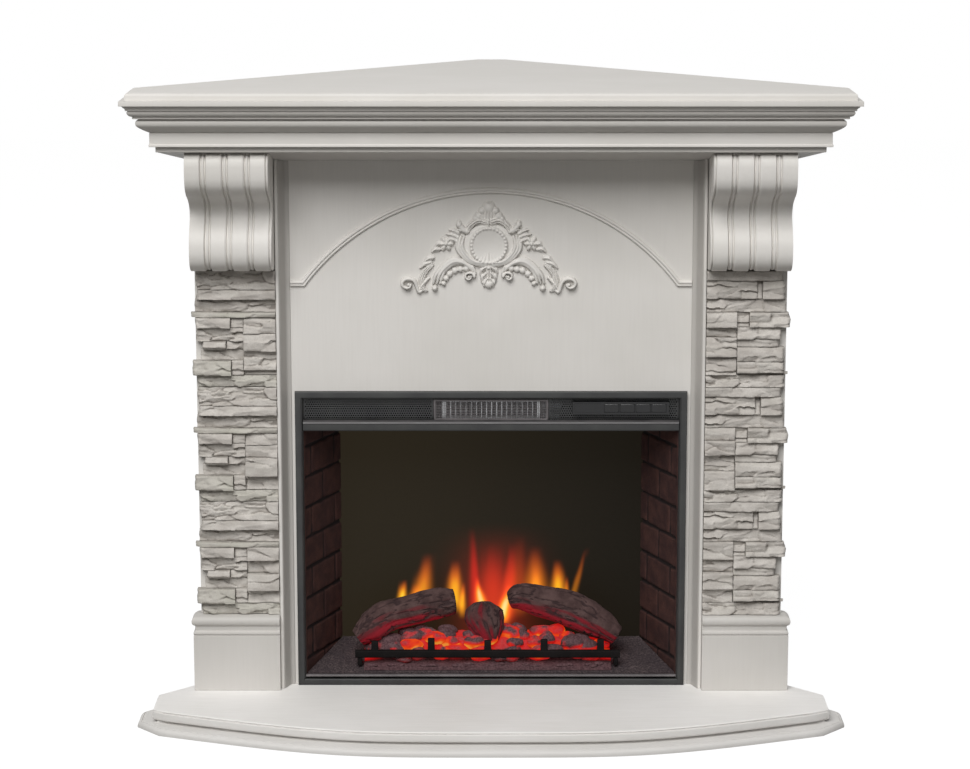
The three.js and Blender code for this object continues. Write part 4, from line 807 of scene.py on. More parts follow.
# face of one stone: facets are tilted planes round scattered seeds, blended near their
# borders, with thin level ledges and grit on top; the outline is chipped by noise
def stoneSkin(stone, high, low, wild, seed):
    look = {"step": 1.35, "gap": 0.1, "facetArea": 270, "facetStretch": 2.6, "facetLift": 3.2, "tilt": 0.62,
            "ledge": 0.7, "grit": 0.55, "chip": 0.9, "endChip": 7.5, "round": 1.7, "lean": 0.09,
            "leanMost": 2.4, "plane": 15.1, "back": 14.7, "outerFrom": 120, "slice": 7.3}
    chance = np.random.default_rng(seed)
    outer = stone["to"] > look["outerFrom"]  # it ends at the column's outer edge

    def placeOf(x, z):
        return np.stack([x, np.full_like(x, seed * look["slice"]), z], -1)

    start, end = stone["from"] + look["gap"], stone["to"] - look["gap"]
    high, low = high - look["gap"], low + look["gap"]
    columns = max(7, int((end - start) / look["step"]))
    rows = max(5, int((high - low) / look["step"]))
    s = np.linspace(0, 1, columns)[None, :] * np.ones((rows, 1))
    t = np.linspace(0, 1, rows)[:, None] * np.ones((1, columns))
    flatPlace = placeOf(start + s * (end - start), low + t * (high - low))
    endChip = look["endChip"] if outer else look["chip"]
    rightPull = endChip * (0.5 + 0.5 * layeredNoise(flatPlace * [0, 1, 1], (9, 9, 12), 3, seed)) ** 1.2
    leftPull = look["chip"] * 0.5 * (1 + smoothNoise(flatPlace * [0, 1, 1], (9, 9, 6), seed + 5))
    topPull = look["chip"] * (0.5 + 0.5 * layeredNoise(flatPlace * [1, 1, 0], (16, 9, 9), 3, seed + 9))
    footPull = look["chip"] * (0.5 + 0.5 * layeredNoise(flatPlace * [1, 1, 0], (14, 9, 9), 3, seed + 13))
    x = start + leftPull + s * (end - start - leftPull - rightPull)
    z = low + footPull + t * (high - low - topPull - footPull)
    place = placeOf(x, z)

    seeds = max(3, int((end - start) * (high - low) / look["facetArea"] * (0.4 + 0.6 * wild)))
    seedPlace = np.column_stack([chance.uniform(start, end, seeds), chance.uniform(low, high, seeds)])
    lift = chance.uniform(-1, 1, seeds) * look["facetLift"] * wild
    slopes = np.column_stack([chance.uniform(-0.09, 0.09, seeds), chance.uniform(-1, 1, seeds) * look["tilt"]])
    slopes *= min(1.0, 0.35 + 0.65 * wild)
    warpX = x + 5 * smoothNoise(place, (14, 9, 6), seed + 21)
    warpZ = z + 2 * smoothNoise(place, (11, 9, 5), seed + 22)
    dx = warpX[..., None] - seedPlace[:, 0]
    dz = warpZ[..., None] - seedPlace[:, 1]
    reach = np.sqrt((dx / look["facetStretch"]) ** 2 + dz ** 2)
    plane = lift + slopes[:, 0] * dx + slopes[:, 1] * dz
    order = np.argsort(reach, axis=-1)[..., :2]
    near, far = (np.take_along_axis(reach, order, -1)[..., i] for i in (0, 1))
    first, second = (np.take_along_axis(plane, order, -1)[..., i] for i in (0, 1))
    blend = 0.5 * (1 - smoothStep(far - near, 0, 1.5))
    face = first * (1 - blend) + second * blend
    ledges = 1 - 2 * np.abs(layeredNoise(place, (46, 9, 5.5), 3, seed + 31))
    grit = layeredNoise(place, (5, 5, 2.6), 3, seed + 41)
    rough = face + wild * (look["ledge"] * ledges + look["grit"] * grit)
    rough = rough + 0.22 * smoothNoise(place, (2.6, 9, 1.7), seed + 4)
    rim = np.minimum(np.minimum(x - x[:, :1], x[:, -1:] - x), np.minimum(z - z[:1], z[-1:] - z))
    uneven = 0.6 + 0.5 * smoothNoise(place, (8, 9, 5), seed + 51)
    rounding = look["round"] * uneven * np.exp(-np.maximum(rim, 0) / 1.3)
    outEnd = smoothStep(stone["to"] - x, 0, 9) if outer else 1.0
    lean = np.clip((high - low) * look["lean"], 0, look["leanMost"]) * (1 - 2 * t)
    bulk = stone["proud"] + np.clip(rough, -5, 3.4) + lean
    proud = np.clip(bulk * (0.72 + 0.28 * outEnd) - rounding, 3.0, 23.5)

    def behind(edge):
        flat = edge * [1, 0, 1]
        middle = flat - [0, look["plane"] + 1.5, 0]
        middle[:, 1] = np.minimum(middle[:, 1], edge[:, 1] * 0.4 - look["plane"] * 0.6)
        return middle, flat - [0, look["back"], 0]

    whole = plateSkin(np.stack([x, -look["plane"] - proud, z], -1), behind)
    hidden = len(whole[0]) - proud.size
    # painted shade: darker where the face lies below its blurred surroundings and near the rim of each stone's
    # lower half; the hidden walls behind get a fixed painted shade
    blur = proud.copy()
    for _ in range(6):
        padded = np.pad(blur, 1, mode="edge")
        blur = (padded[:-2, 1:-1] + padded[2:, 1:-1] + padded[1:-1, :-2] + padded[1:-1, 2:] + blur) / 5
    hollow = np.clip((blur - proud) / 1.3, 0, 1)
    hollow = np.maximum(0.8 * hollow, 0.25 * np.exp(-np.maximum(rim, 0) / 0.8) * (t < 0.5))
    hollow = np.concatenate([hollow.ravel(), np.full(hidden, 0.45)])
    tone = np.clip(stone["tone"] + 0.25 * layeredNoise(place, (40, 9, 14), 2, seed + 61), 0, 1)
    tone = np.concatenate([tone.ravel(), np.full(hidden, 0.3)])
    return whole, hollow, tone


def makeCladding(stoneFinish):
    panel = {"height": 205.6, "top": 788.1, "column": 374, "backing": 128, "jointLeft": 57, "jointRight": 54,
             "tinted": (103, 110, 112)}
    # top, foot, from, to, proud, wild: down from the panel's top and out from the column's inner edge
    leftStones = [
        (0, 33, 0, 141, 14, 1.5), (33, 50, 0, 140, 19, 0.45), (50, 73, 0, 144, 8, 1.0),
        (73, 82, 0, 149, 15, 0.8),
        (82, 100, 79, 143, 21, 0.9), (82, 100, 57, 79, 11, 0.5), (100, 124, 57, 141, 13, 1.1),
        (124, 138, 87, 132, 20, 0.7), (124, 138, 57, 87, 10, 0.8), (138, 158, 57, 136, 7, 0.8),
        (158, 184, 78, 149, 20, 1.1), (158, 184, 57, 78, 13, 1.0), (184, 205.6, 0, 142, 12, 1.4),
    ]
    leftKeys = [
        [(82, 110, 15, 0.7), (110, 141, 19, 0.3), (141, 175, 12, 1.5), (175, 184, 7, 0.6)],
        [(82, 104, 11, 0.8), (104, 125, 16, 0.6), (125, 158, 22, 0.9), (158, 184, 7, 1.0)],
        [(82, 106, 17, 0.5), (106, 130, 10, 1.1), (130, 160, 20, 0.8), (160, 184, 9, 0.9)],
    ]
    rightStones = [
        (0, 17, 0, 137, 18, 0.6), (17, 49, 0, 88, 14, 1.0), (17, 49, 88, 97, 8, 0.6),
        (17, 49, 97, 139, 18, 0.8),
        (49, 73, 0, 143, 10, 1.1), (73, 99, 54, 75, 8, 0.7),
        (73, 99, 75, 149, 18, 1.1), (99, 120, 54, 135, 15, 1.0),
        (120, 134, 54, 131, 12, 0.9), (134, 160, 54, 140, 16, 1.2), (160, 179, 54, 141, 19, 1.1),
        (179, 184, 54, 146, 7, 0.4), (184, 205.6, 0, 141, 14, 1.4),
    ]
    rightKeys = [
        [(73, 99, 21, 0.3), (99, 117, 8, 0.8), (117, 151, 18, 1.1), (151, 184, 15, 0.6)],
        [(73, 95, 12, 0.6), (95, 121, 19, 0.8), (121, 150, 9, 1.0), (150, 184, 17, 0.7)],
        [(73, 104, 16, 0.7), (104, 128, 8, 1.1), (128, 158, 20, 0.7), (158, 184, 11, 0.9)],
    ]
    sides = [("left", leftStones, leftKeys, panel["jointLeft"], 100),
             ("right", rightStones, rightKeys, panel["jointRight"], 300)]
    for side, stones, keys, jointAt, seed in sides:
        for i, level in enumerate(("upper", "middle", "lower")):
            top = panel["top"] - i * panel["height"]
            foot = top - panel["height"] + joint
            rows = [*stones, *[(a, b, 0, jointAt, proud, wild) for a, b, proud, wild in keys[i]]]
            skins, paintedHollowShades, tones = [], [], []
            for k, (a, b, start, end, proud, wild) in enumerate(rows):
                number = seed + k if k < len(stones) else seed + 40 + 10 * i + k
                tint = 0.5 if number in panel["tinted"] else 0.1
                stone = {"from": start, "to": end, "proud": proud, "tone": tint}
                high, low = panel["height"] - a, max(panel["height"] - b, joint)
                whole, hollow, tone = stoneSkin(stone, high, low, wild, number)
                skins.append(moved(whole, panel["column"], 0, top - panel["height"]))
                paintedHollowShades.append(hollow)
                tones.append(tone)
            backing = box(panel["column"], panel["column"] + panel["backing"], -19.6, -14.6, foot, top, 0.4)
            skins.append(backing)
            # painted shade on the backing plate between the stones
            paintedHollowShades.append(np.full(len(backing[0]), 0.7))
            tones.append(np.full(len(backing[0]), 0.2))
            whole = together(*skins)
            if side == "left":
                whole = mirrored(whole)
            name = "stone" + side.capitalize() + level.capitalize()
            addPiece(name, whole, stoneFinish, (f"stone_{side}_{level}",), sharp=50,
                     values={"hollow": np.concatenate(paintedHollowShades), "tone": np.concatenate(tones)})
    print("stone cladding done")


# arch: a moulded band; each line of its profile runs level from the strip, round the arc
# whose radius is less by its distance d, and level again
def makeArch(paint):
    arch = {"radius": 415.6, "top": 930, "half": 330, "footX": 349.5, "profile": [
        (0, 0), (0, 1.8), (0.5, 3.4), (1.5, 4.9), (2.9, 5.8), (4.4, 5.7), (5.6, 4.6), (6.1, 3.4), (6.7, 3.5),
        (7.6, 4.4), (8.8, 4.6), (10, 3.6), (10.8, 2), (11, 0.8), (11, 0)]}
    centre = arch["top"] - arch["radius"]
    footTop = centre + math.sqrt(arch["radius"] ** 2 - arch["half"] ** 2)
    steps = 110
    lines = []
    for d, proud in arch["profile"]:
        level = footTop - d
        radius = arch["radius"] - d
        end = math.acos((level - centre) / radius)
        angle = np.linspace(-end, end, steps)
        x = np.concatenate([[-arch["footX"]], radius * np.sin(angle), [arch["footX"]]])
        z = np.concatenate([[level], centre + radius * np.cos(angle), [level]])
        lines.append(np.column_stack([x, np.full(len(x), -joint - proud), z]))
    rings = np.array(lines).transpose(1, 0, 2)
    addPiece("archMoulding", ringSkin(rings), paint, ("arch_moulding",))
    print("arch done")


# carved relief: height over a fine grid is the highest of its strokes, domes and rings; a
# stroke's height falls off as sqrt(1 - (d / w)^2) from its line
def makeOrnament(paint):
    relief = {"x0": -165, "x1": 157, "z0": 739, "z1": 906, "step": 0.9, "least": 0.5, "most": 11.6,
              "middle": (-4, 829), "unit": 0.2306, "soft": 0.6}
    x = np.arange(relief["x0"], relief["x1"] + 0.1, relief["step"])
    z = np.arange(relief["z0"], relief["z1"] + 0.1, relief["step"])
    gx, gz = np.meshgrid(x, z)
    u = (gx - relief["middle"][0]) / relief["unit"]  # the design is drawn in small units round the boss
    v = -(gz - relief["middle"][1]) / relief["unit"]
    side = np.abs(u)
    height = np.zeros_like(u)

    def keepHighest(shape):
        nonlocal height
        seam = np.exp(-np.abs(height - shape) / relief["soft"]) * (np.minimum(height, shape) > 0.2)
        height = np.maximum(height, shape) + relief["soft"] * seam * 0.4

    def stroke(knots, widths, heights, ridges=0, at=side):
        line = smoothCurve(knots, 70)
        share = np.linspace(0, 1, 70)
        width = np.interp(share, np.linspace(0, 1, len(widths)), widths)
        tall = np.interp(share, np.linspace(0, 1, len(heights)), heights)
        lo, hi = line.min(0) - width.max() * 1.1, line.max(0) + width.max() * 1.1
        inside = (at > lo[0]) & (at < hi[0]) & (v > lo[1]) & (v < hi[1])
        px, pv = at[inside], v[inside]
        gap = np.hypot(px[:, None] - line[:, 0], pv[:, None] - line[:, 1])
        best = np.argmin(gap / width, axis=1)
        near = gap[np.arange(len(px)), best] / width[best]
        shape = tall[best] * np.sqrt(np.clip(1 - near ** 2, 0, 1))
        if ridges:
            shape = shape * (0.8 + 0.2 * np.cos(2 * np.pi * ridges * near))
        full = np.zeros_like(u)
        full[inside] = shape
        keepHighest(full)

    def dome(cx, cv, radius, tall, at=side, petals=0):
        gap = np.hypot(at - cx, v - cv)
        angle = np.arctan2(v - cv, at - cx)
        reach = radius * (1 + (0.16 * np.cos(petals * angle) if petals else 0))
        shape = tall * np.sqrt(np.clip(1 - (gap / reach) ** 2, 0, 1))
        if petals:
            shape = shape * (0.75 + 0.25 * np.cos(petals * angle) * smoothStep(gap / reach, 0.2, 0.6))
        keepHighest(shape)

    # field behind the boss
    stroke([(0, -60), (60, -30), (70, 30), (0, 90)], [110, 120, 120, 110], [4, 4, 4, 4])
    # crest: shell and knob with ruffled leaves
    stroke([(0, -200), (0, -245), (0, -290)], [75, 68, 50], [7, 8.5, 8], 3)
    dome(0, -285, 44, 10)
    dome(0, -325, 22, 9)
    for place, radius in (((52, -262), 28), ((78, -222), 30), ((100, -204), 22)):
        dome(*place, radius, 8.5)
    # brows: double C scrolls over the boss
    stroke([(20, -178), (80, -192), (140, -150), (162, -105)], [24, 26, 24, 20], [10, 10.5, 9.5, 8], 1.5)
    stroke([(162, -105), (190, -120), (218, -150), (226, -175)], [20, 22, 22, 18], [8, 8.5, 9, 9])
    dome(224, -158, 26, 10)
    stroke([(0, -195), (0, -165), (0, -150)], [9, 9, 8], [10, 10, 9])
    # boss: beaded ring round a hollow dish
    gap = np.hypot(u, v)
    angle = np.arctan2(v, u)
    ring = 10.8 * np.sqrt(np.clip(1 - ((gap - 131) / 17) ** 2, 0, 1)) * (0.9 + 0.1 * np.cos(30 * angle))
    dish = np.where(gap < 122, 3.2 + 4.2 * (gap / 122) ** 2, 0)
    height = np.where(gap < 122, dish, height)
    keepHighest(ring)
    for lean, rise in ((-52, 0), (-27, 0), (0, 1), (27, 0), (52, 0)):
        stroke([(lean * 1.2, 122), (lean, 92 - 8 * rise), (lean * 0.8, 60 - 10 * rise)],
               [16, 13, 5], [9, 7.5, 5], 1, at=u)
    # shield: three ridges down each side to the palmette
    for out, tall in ((0, 9.5), (22, 8.2), (42, 7)):
        stroke([(186 + out, -70), (200 + out, 0), (176 + out, 60), (112 + out * 0.6, 118 + out * 0.3),
                (12, 136 + out * 0.6)], [9, 15, 16, 15, 11], [6, tall, tall, tall, tall])

    def leaves(tips, arch, widths, heights):
        for a, b in tips:
            stroke([a, ((a[0] + b[0]) / 2, (a[1] + b[1]) / 2 - arch), b], widths, heights, 1)

    # leaf sprays over the shield
    leaves((((230, -90), (300, -118)), ((235, -60), (322, -85)), ((240, -30), (318, -48)),
            ((180, -100), (236, -118))), 8, [17, 19, 6], [7.5, 8.5, 5])
    # flowers
    dome(322, -12, 54, 9.5, petals=6)
    dome(322, -12, 17, 11.4)
    leaves((((360, -10), (400, 8)), ((375, 30), (430, 52)), ((420, 95), (485, 128)), ((440, 130), (520, 176))),
           12, [18, 22, 7], [6.5, 8, 4.5])
    # arms of acanthus that end in a ball, with an inner fringe of lobes
    for out, tall in ((0, 9.5), (26, 8.6), (-24, 7.4)):
        stroke([(120, 178 + out * 0.5), (200, 128 - out * 0.2),
                (262, 122 - out * 0.6), (322, 160 - out * 0.8),
                (368 + out, 218), (392 + out, 290)], [13, 18, 20, 20, 17, 10], [6, tall, tall, tall, tall, 6])
    dome(408, 326, 24, 11)
    for cx, cv, r in ((170, 176, 26), (214, 182, 26), (256, 192, 27),
                      (296, 218, 26), (322, 252, 24), (340, 290, 20)):
        dome(cx, cv, r, 7.4)
    # outer leaves down to the end scrolls
    stroke([(430, 150), (480, 200), (505, 262), (500, 322), (470, 348)],
           [18, 26, 28, 24, 12], [6, 8, 8.4, 8, 6], 2)
    stroke([(452, 250), (500, 300), (520, 340)], [14, 22, 12], [6, 7.6, 6], 1)
    # end scrolls
    turn = np.linspace(0, 2.1 * np.pi, 9)

    def spiral(cx, cv, wide, tall, lead=0.0):
        across, up = (size - loss * turn / np.pi for size, loss in (wide, tall))
        return np.column_stack([cx - across * np.cos(turn - lead), cv - up * np.sin(turn - lead)])

    stroke(np.vstack([[(505, 345)], [(530, 352)], spiral(612, 296, (64, 19), (52, 15), 0.5)[1:]]),
           [12, 17, 17, 15, 13, 11], [6, 8.5, 9.5, 10, 10.5, 11])
    dome(606, 300, 16, 11.4)
    # inner spirals beside the palmette
    stroke(np.vstack([[(120, 160)], [(104, 200)], spiral(148, 238, (40, 12), (36, 11))]),
           [9, 12, 12, 11, 10, 9], [7, 8.5, 9.5, 9.5, 10, 10])
    dome(150, 240, 12, 11)
    # palmette and hanging leaf
    stroke([(0, 145), (0, 200), (0, 262), (0, 318)], [20, 26, 24, 8], [8, 9.5, 8.5, 4], 1.5)
    for a, b, c in (((14, 160), (52, 188), (62, 232)), ((12, 205), (44, 240), (50, 284)),
                    ((10, 250), (30, 285), (34, 318))):
        stroke([a, b, c], [14, 19, 7], [8, 8.6, 4.5], 1)
    dome(0, 296, 33, 8.6)
    dome(0, 170, 16, 11)

    height = np.minimum(height * (relief["most"] / 11.4), relief["most"])
    active = height > relief["least"]
    cell = active[:-1, :-1] & active[1:, :-1] & active[:-1, 1:] & active[1:, 1:]
    used = np.zeros_like(active)
    for a, b in itertools.product((0, 1), repeat=2):
        used[a:a + cell.shape[0], b:b + cell.shape[1]] |= cell
    number = np.full(used.shape, -1)
    number[used] = np.arange(used.sum())
    count = int(used.sum())
    rowAt, columnAt = np.nonzero(cell)
    quads = np.stack([number[rowAt, columnAt], number[rowAt, columnAt + 1], number[rowAt + 1, columnAt + 1],
                      number[rowAt + 1, columnAt]], -1)
    rim = openEdges(count, quads)
    walls = np.stack([rim[:, 1], rim[:, 0], rim[:, 0] + count, rim[:, 1] + count], -1)
    # border points slide along the slope to where the height is the least one
    slopeZ, slopeX = np.gradient(height, relief["step"])
    steep = np.maximum(slopeX ** 2 + slopeZ ** 2, 0.2)
    push = np.clip((height - relief["least"]) / steep, -0.5, 0.5)
    border = np.zeros(count, bool)
    border[rim.ravel()] = True
    px = gx[used] - np.where(border, np.clip(push * slopeX, -0.5, 0.5)[used], 0)
    pz = gz[used] - np.where(border, np.clip(push * slopeZ, -0.5, 0.5)[used], 0)
    tall = np.where(border, relief["least"] + 0.6, height[used] + 0.4)
    front = np.column_stack([px, -joint - np.minimum(tall, relief["most"] + 0.3), pz])
    back = np.column_stack([px, np.full(count, -joint), pz])
    whole = skin(np.vstack([front, back]), quads, walls, quads[:, ::-1] + count)
    addPiece("carvedOrnament", whole, paint, ("ornament",), sharp=75)
    print("ornament done:", len(quads) * 4, "triangles")


# rectangular frame: each line of the profile (inset, proud) is a rectangle whose lower side
# is inset by less
def makeTrim(steel, paleHighlightSteel, lipSteel):
    trim = {"half": 344.5, "low": 35.3, "high": 570.3, "side": 13, "bottom": 11, "profile": [
        (0, 0), (0, 8.4), (0.4, 9.3), (1.3, 9.7), (9.6, 9.7), (10.2, 9.5), (10.8, 8.6), (11.2, 8.4),
        (12.2, 7.4), (12.8, 6.4), (13, 5.4), (13, 0)]}
    whole = frameSkin([(
        trim["half"] - inset, -joint - proud, trim["low"] + inset * trim["bottom"] / trim["side"],
        trim["high"] - inset,
    ) for inset, proud in trim["profile"]])
    addPiece("trimFrame", whole, steel, ("trim_frame",))

    bar = {"half": 330.5, "front": -8, "back": 4, "low": 501.4, "high": 511.3, "ledge": 513.7, "ledgeBack": -3}
    outline = roundCorners([
        [bar["back"], bar["low"]], [bar["back"], bar["high"]], [bar["ledgeBack"], bar["high"]],
        [bar["ledgeBack"], bar["ledge"]], [bar["front"], bar["ledge"]], [bar["front"], bar["low"]],
    ], 0.7, 3)
    addPiece("crossBar", barSkin(outline, -bar["half"], bar["half"]), steel, ("cross_bar",))
    lips = {  # edges that catch the light: depth and height round each section; the tray's lip in pale steel is a painted highlight
        "bar": [[-3.2, 512.4], [-3.2, 519.4], [-4.4, 519.2], [-7.6, 516], [-9.2, 513.4], [-9.2, 512.4]],
        "tray": [[0, 49.4], [0, 53.6], [-4.8, 53.4], [-5.8, 52.4], [-5.8, 49.8]],
    }
    for name, part, finish in (("barLip", "bar", lipSteel), ("trayLip", "tray", paleHighlightSteel)):
        addPiece(name, barSkin(roundCorners(lips[part], 0.25, 2), -bar["half"], bar["half"]), finish)
    print("trim done")


# sheet with staggered round holes: each cell is eight quads between its border and a ring of
# eight points, with the same behind it and a wall through the hole
def perforated(x0, columns, z0, rows, pitch, hole, front, thick):
    angle = np.radians(np.arange(8) * 45 + 225)
    border = np.array([[-1, -1], [0, -1], [1, -1], [1, 0], [1, 1], [0, 1], [-1, 1], [-1, 0]]) * pitch / 2
    ring = np.column_stack([np.cos(angle), np.sin(angle)]) * hole
    row, column = np.meshgrid(np.arange(rows), np.arange(columns), indexing="ij")
    cx = x0 + (column + 0.5 + 0.5 * (row % 2)) * pitch
    cz = z0 + (row + 0.5) * pitch
    keep = (column < columns - 1) | (row % 2 == 0)
    centres = np.column_stack([cx[keep], cz[keep]])
    flat = np.concatenate([centres[:, None] + border, centres[:, None] + ring], axis=1)
    cells = len(centres)
    layers = []
    for y in (front, front + thick):
        layers.append(np.concatenate([flat[..., :1], np.full((cells, 16, 1), y), flat[..., 1:]], -1))
    points = np.concatenate(layers, axis=1).reshape(-1, 3)
    k = np.arange(8)
    n = (k + 1) % 8
    base = (np.arange(cells) * 32)[:, None, None]
    face = np.stack([k, n, 8 + n, 8 + k], -1)
    reverse = face[:, ::-1] + 16
    wall = np.stack([8 + k, 8 + n, 24 + n, 24 + k], -1)
    quads = np.concatenate([(base + part).reshape(-1, 4) for part in (face, reverse, wall)])
    # plain half cells that fill the ends of the shifted rows
    odd = np.arange(1, rows, 2)
    ends = []
    for left in (x0, x0 + (columns - 0.5) * pitch):
        for r in odd:
            low, high = z0 + r * pitch, z0 + (r + 1) * pitch
            mid = (low + high) / 2
            outer, inner = (left, left + pitch / 2) if left == x0 else (left + pitch / 2, left)
            ends.append([[outer, low], [inner, low], [inner, mid], [inner, high], [outer, high], [outer, mid]])
    ends = np.array(ends)
    flip = ends[:, 0, 0] > ends[:, 1, 0]
    ends[flip] = ends[flip][:, ::-1]
    endPoints = np.concatenate([
        np.concatenate([ends[..., :1], np.full((len(ends), 6, 1), y), ends[..., 1:]], -1)
        for y in (front, front + thick)
    ], axis=1).reshape(-1, 3)
    endBase = (len(points) + np.arange(len(ends)) * 12)[:, None]
    sixes = np.concatenate([endBase + np.arange(6), endBase + 6 + np.arange(6)[::-1]])
    points, (quads, sixes) = weld((np.vstack([points, endPoints]), [quads, sixes]))
    rims = openEdges(len(points), quads, sixes)
    frontRim = rims[np.isclose(points[rims[:, 0], 1], front)]
    # the point behind each rim point is the one at the same x and z
    _, line = np.unique(np.round(points[:, [0, 2]], 3), axis=0, return_inverse=True)
    line = line.ravel()
    rear = np.nonzero(~np.isclose(points[:, 1], front))[0]
    behind = np.empty(line.max() + 1, np.int64)
    behind[line[rear]] = rear
    behind = behind[line[frontRim]]
    walls = np.stack([frontRim[:, 1], frontRim[:, 0], behind[:, 0], behind[:, 1]], -1)
    return skin(points, quads, sixes, walls)


def makeGrille(steel, paleHighlightSteel):
    grille = {"pitch": 4.0, "hole": 1.35, "face": 4, "thick": 1.5, "low": 514, "high": 557, "half": 330.5,
              "opening": 101.3}
    margin = (grille["high"] - grille["low"] - 10 * grille["pitch"]) / 2
    columns = int((grille["half"] - grille["opening"] - 3) / grille["pitch"])
    sideMargin = (grille["half"] - grille["opening"] - columns * grille["pitch"]) / 2
    start = grille["opening"] + sideMargin
    sheet = perforated(start, columns, grille["low"] + margin, 10, grille["pitch"], grille["hole"],
                       grille["face"], grille["thick"])
    parts = [sheet, mirrored(sheet)]
    y0, y1 = grille["face"], grille["face"] + grille["thick"]
    for sign in (-1, 1):
        for a, b in ((grille["opening"], start + 0.1), (grille["half"] - sideMargin - 0.1, grille["half"])):
            x0, x1 = sorted((sign * a, sign * b))
            parts.append(box(x0, x1, y0 - 0.02, y1 + 0.02, grille["low"], grille["high"], 0.2))
    for z0, z1 in ((grille["low"], grille["low"] + margin + 0.05),
                   (grille["high"] - margin - 0.05, grille["high"])):
        parts.append(box(-grille["half"], grille["half"], y0 - 0.04, y1 + 0.04, z0, z1, 0.2))
    addPiece("grilleSheet", together(*parts), steel, ("grille",), sharp=40)

    guard = {"half": 101, "face": -0.5, "back": 5.5, "low": 515.6, "high": 555.2, "rim": 4, "wire": 0.42,
             "pitch": 2.9}
    frameProfile = [(0, 0), (0, 5.2), (0.5, 5.8), (1.2, 6), (2.8, 6), (3.5, 5.8), (4, 5.2), (4, 0)]
    parts = [frameSkin([
        (guard["half"] - inset, guard["back"] - proud, guard["low"] + inset, guard["high"] - inset)
        for inset, proud in frameProfile
    ])]
    insideHalf = guard["half"] - guard["rim"] + 0.5
    low, high = guard["low"] + guard["rim"] - 0.5, guard["high"] - guard["rim"] + 0.5
    turn = np.radians(np.arange(6) * 60)
    circle = np.column_stack([np.cos(turn), np.sin(turn)]) * guard["wire"]
    levels = np.arange(low + guard["pitch"] / 2, high, guard["pitch"])
    uprights = np.arange(-insideHalf + guard["pitch"] / 2, insideHalf, guard["pitch"])
    for z in levels:
        parts.append(barSkin(circle + [guard["face"] + 2.6, z], -insideHalf, insideHalf))
    for x in uprights:
        ring = np.column_stack([circle[:, 0] + x, circle[:, 1] + guard["face"] + 3.1])
        parts.append(stackSkin([(ring, low), (ring, high)]))
    addPiece("heaterGuard", together(*parts), paleHighlightSteel, ("heater_guard",), sharp=40)
    print("grille and guard done")


def makeKeys(gloss):
    keys = {"first": 211.5, "pitch": 27.8, "width": 25.4, "height": 14.6, "front": -9.6, "z": 541.1}
    names = ("power", "flame", "heater", "timer")
    for i, name in enumerate(names):
        x = keys["first"] + i * keys["pitch"]
        halfX, halfZ = keys["width"] / 2, keys["height"] / 2
        outline = roundCorners([[-halfX, -halfZ], [halfX, -halfZ], [halfX, halfZ], [-halfX, halfZ]], 2.2, 5)
        rings = []
        for shrink, y in ((0, -5.3), (0, -8.7), (0.25, -9.2), (0.8, -9.5),
                          (1.6, keys["front"]), (5.5, -9.45)):
            flat = outline * [(halfX - shrink) / halfX, (halfZ - shrink) / halfZ]
            rings.append(np.column_stack([flat[:, 0] + x, np.full(len(flat), y), flat[:, 1] + keys["z"]]))
        cap = ringSkin(np.array(rings))
        flange = box(x - halfX - 1, x + halfX + 1, -6.2, -5.4,
                     keys["z"] - halfZ - 1, keys["z"] + halfZ + 1, 0.2)
        plunger = box(x - 2, x + 2, -5.5, -4.0, keys["z"] - 2, keys["z"] + 2, 0.3)
        addPiece("key" + name.capitalize(), together(cap, flange, plunger), gloss,
                 ("key_" + name,),
                 body=name + "_key")
    print("keys done")


# brick side: its plan outline at each level, with the visible face cut back where a joint
# runs; a joint's depth falls off smoothly from its middle
def makeBricks(finish):
    brick = {"course": 55.5, "offset": 22, "length": 96, "joint": 5.5, "depth": 3.4, "low": 36.8, "high": 498.2,
             "from": (329.3, 10), "to": (273, 149.7), "columns": 64, "levels": 211,
             "behind": [(281, 149.7), (330.5, 22), (330.5, 3), (329, 3)]}
    start, end = np.array(brick["from"], float), np.array(brick["to"], float)
    levels = np.linspace(brick["low"], brick["high"], brick["levels"])
    share = np.linspace(0, 1, brick["columns"])
    face = start + (end - start) * share[:, None]
    length = np.linalg.norm(end - start)
    inwards = np.array([end[1] - start[1], start[0] - end[0]]) / length
    s, z = np.meshgrid(share * length, levels)
    course = np.floor((z - brick["offset"]) / brick["course"]).astype(int)
    up = (z - brick["offset"]) % brick["course"]
    along = (s + (course % 2) * brick["length"] / 2 + 20) % brick["length"]
    place = np.stack([s, z * 0, z], -1)
    wander = 1.2 * smoothNoise(place, (22, 9, 22), 3)
    toEnd = np.minimum(along, brick["length"] - along)
    toJoint = np.minimum(np.minimum(up, brick["course"] - up), toEnd) + wander
    mortar = 1 - smoothStep(toJoint, brick["joint"] * 0.35, brick["joint"] * 0.75)
    depth = brick["depth"] * mortar + 0.5 * (1 + layeredNoise(place, (14, 9, 9), 4, 8))
    depth = depth * smoothStep(share * length, 0, 4)
    rings = np.empty((len(levels), len(share) + len(brick["behind"]), 3))
    rings[:, :len(share), :2] = face + depth[..., None] * inwards
    rings[:, len(share):, :2] = brick["behind"]
    rings[..., 2] = levels[:, None]
    values = np.concatenate([mortar, np.zeros((len(levels), len(brick["behind"])))], axis=1).ravel()
    right = ringSkin(rings)
    for name, whole in (("Right", right), ("Left", mirrored(right))):
        addPiece("brickSide" + name, whole, finish, ("brick_side_" + name.lower(),), sharp=60,
                 values={"mortar": values})
    print("bricks done")


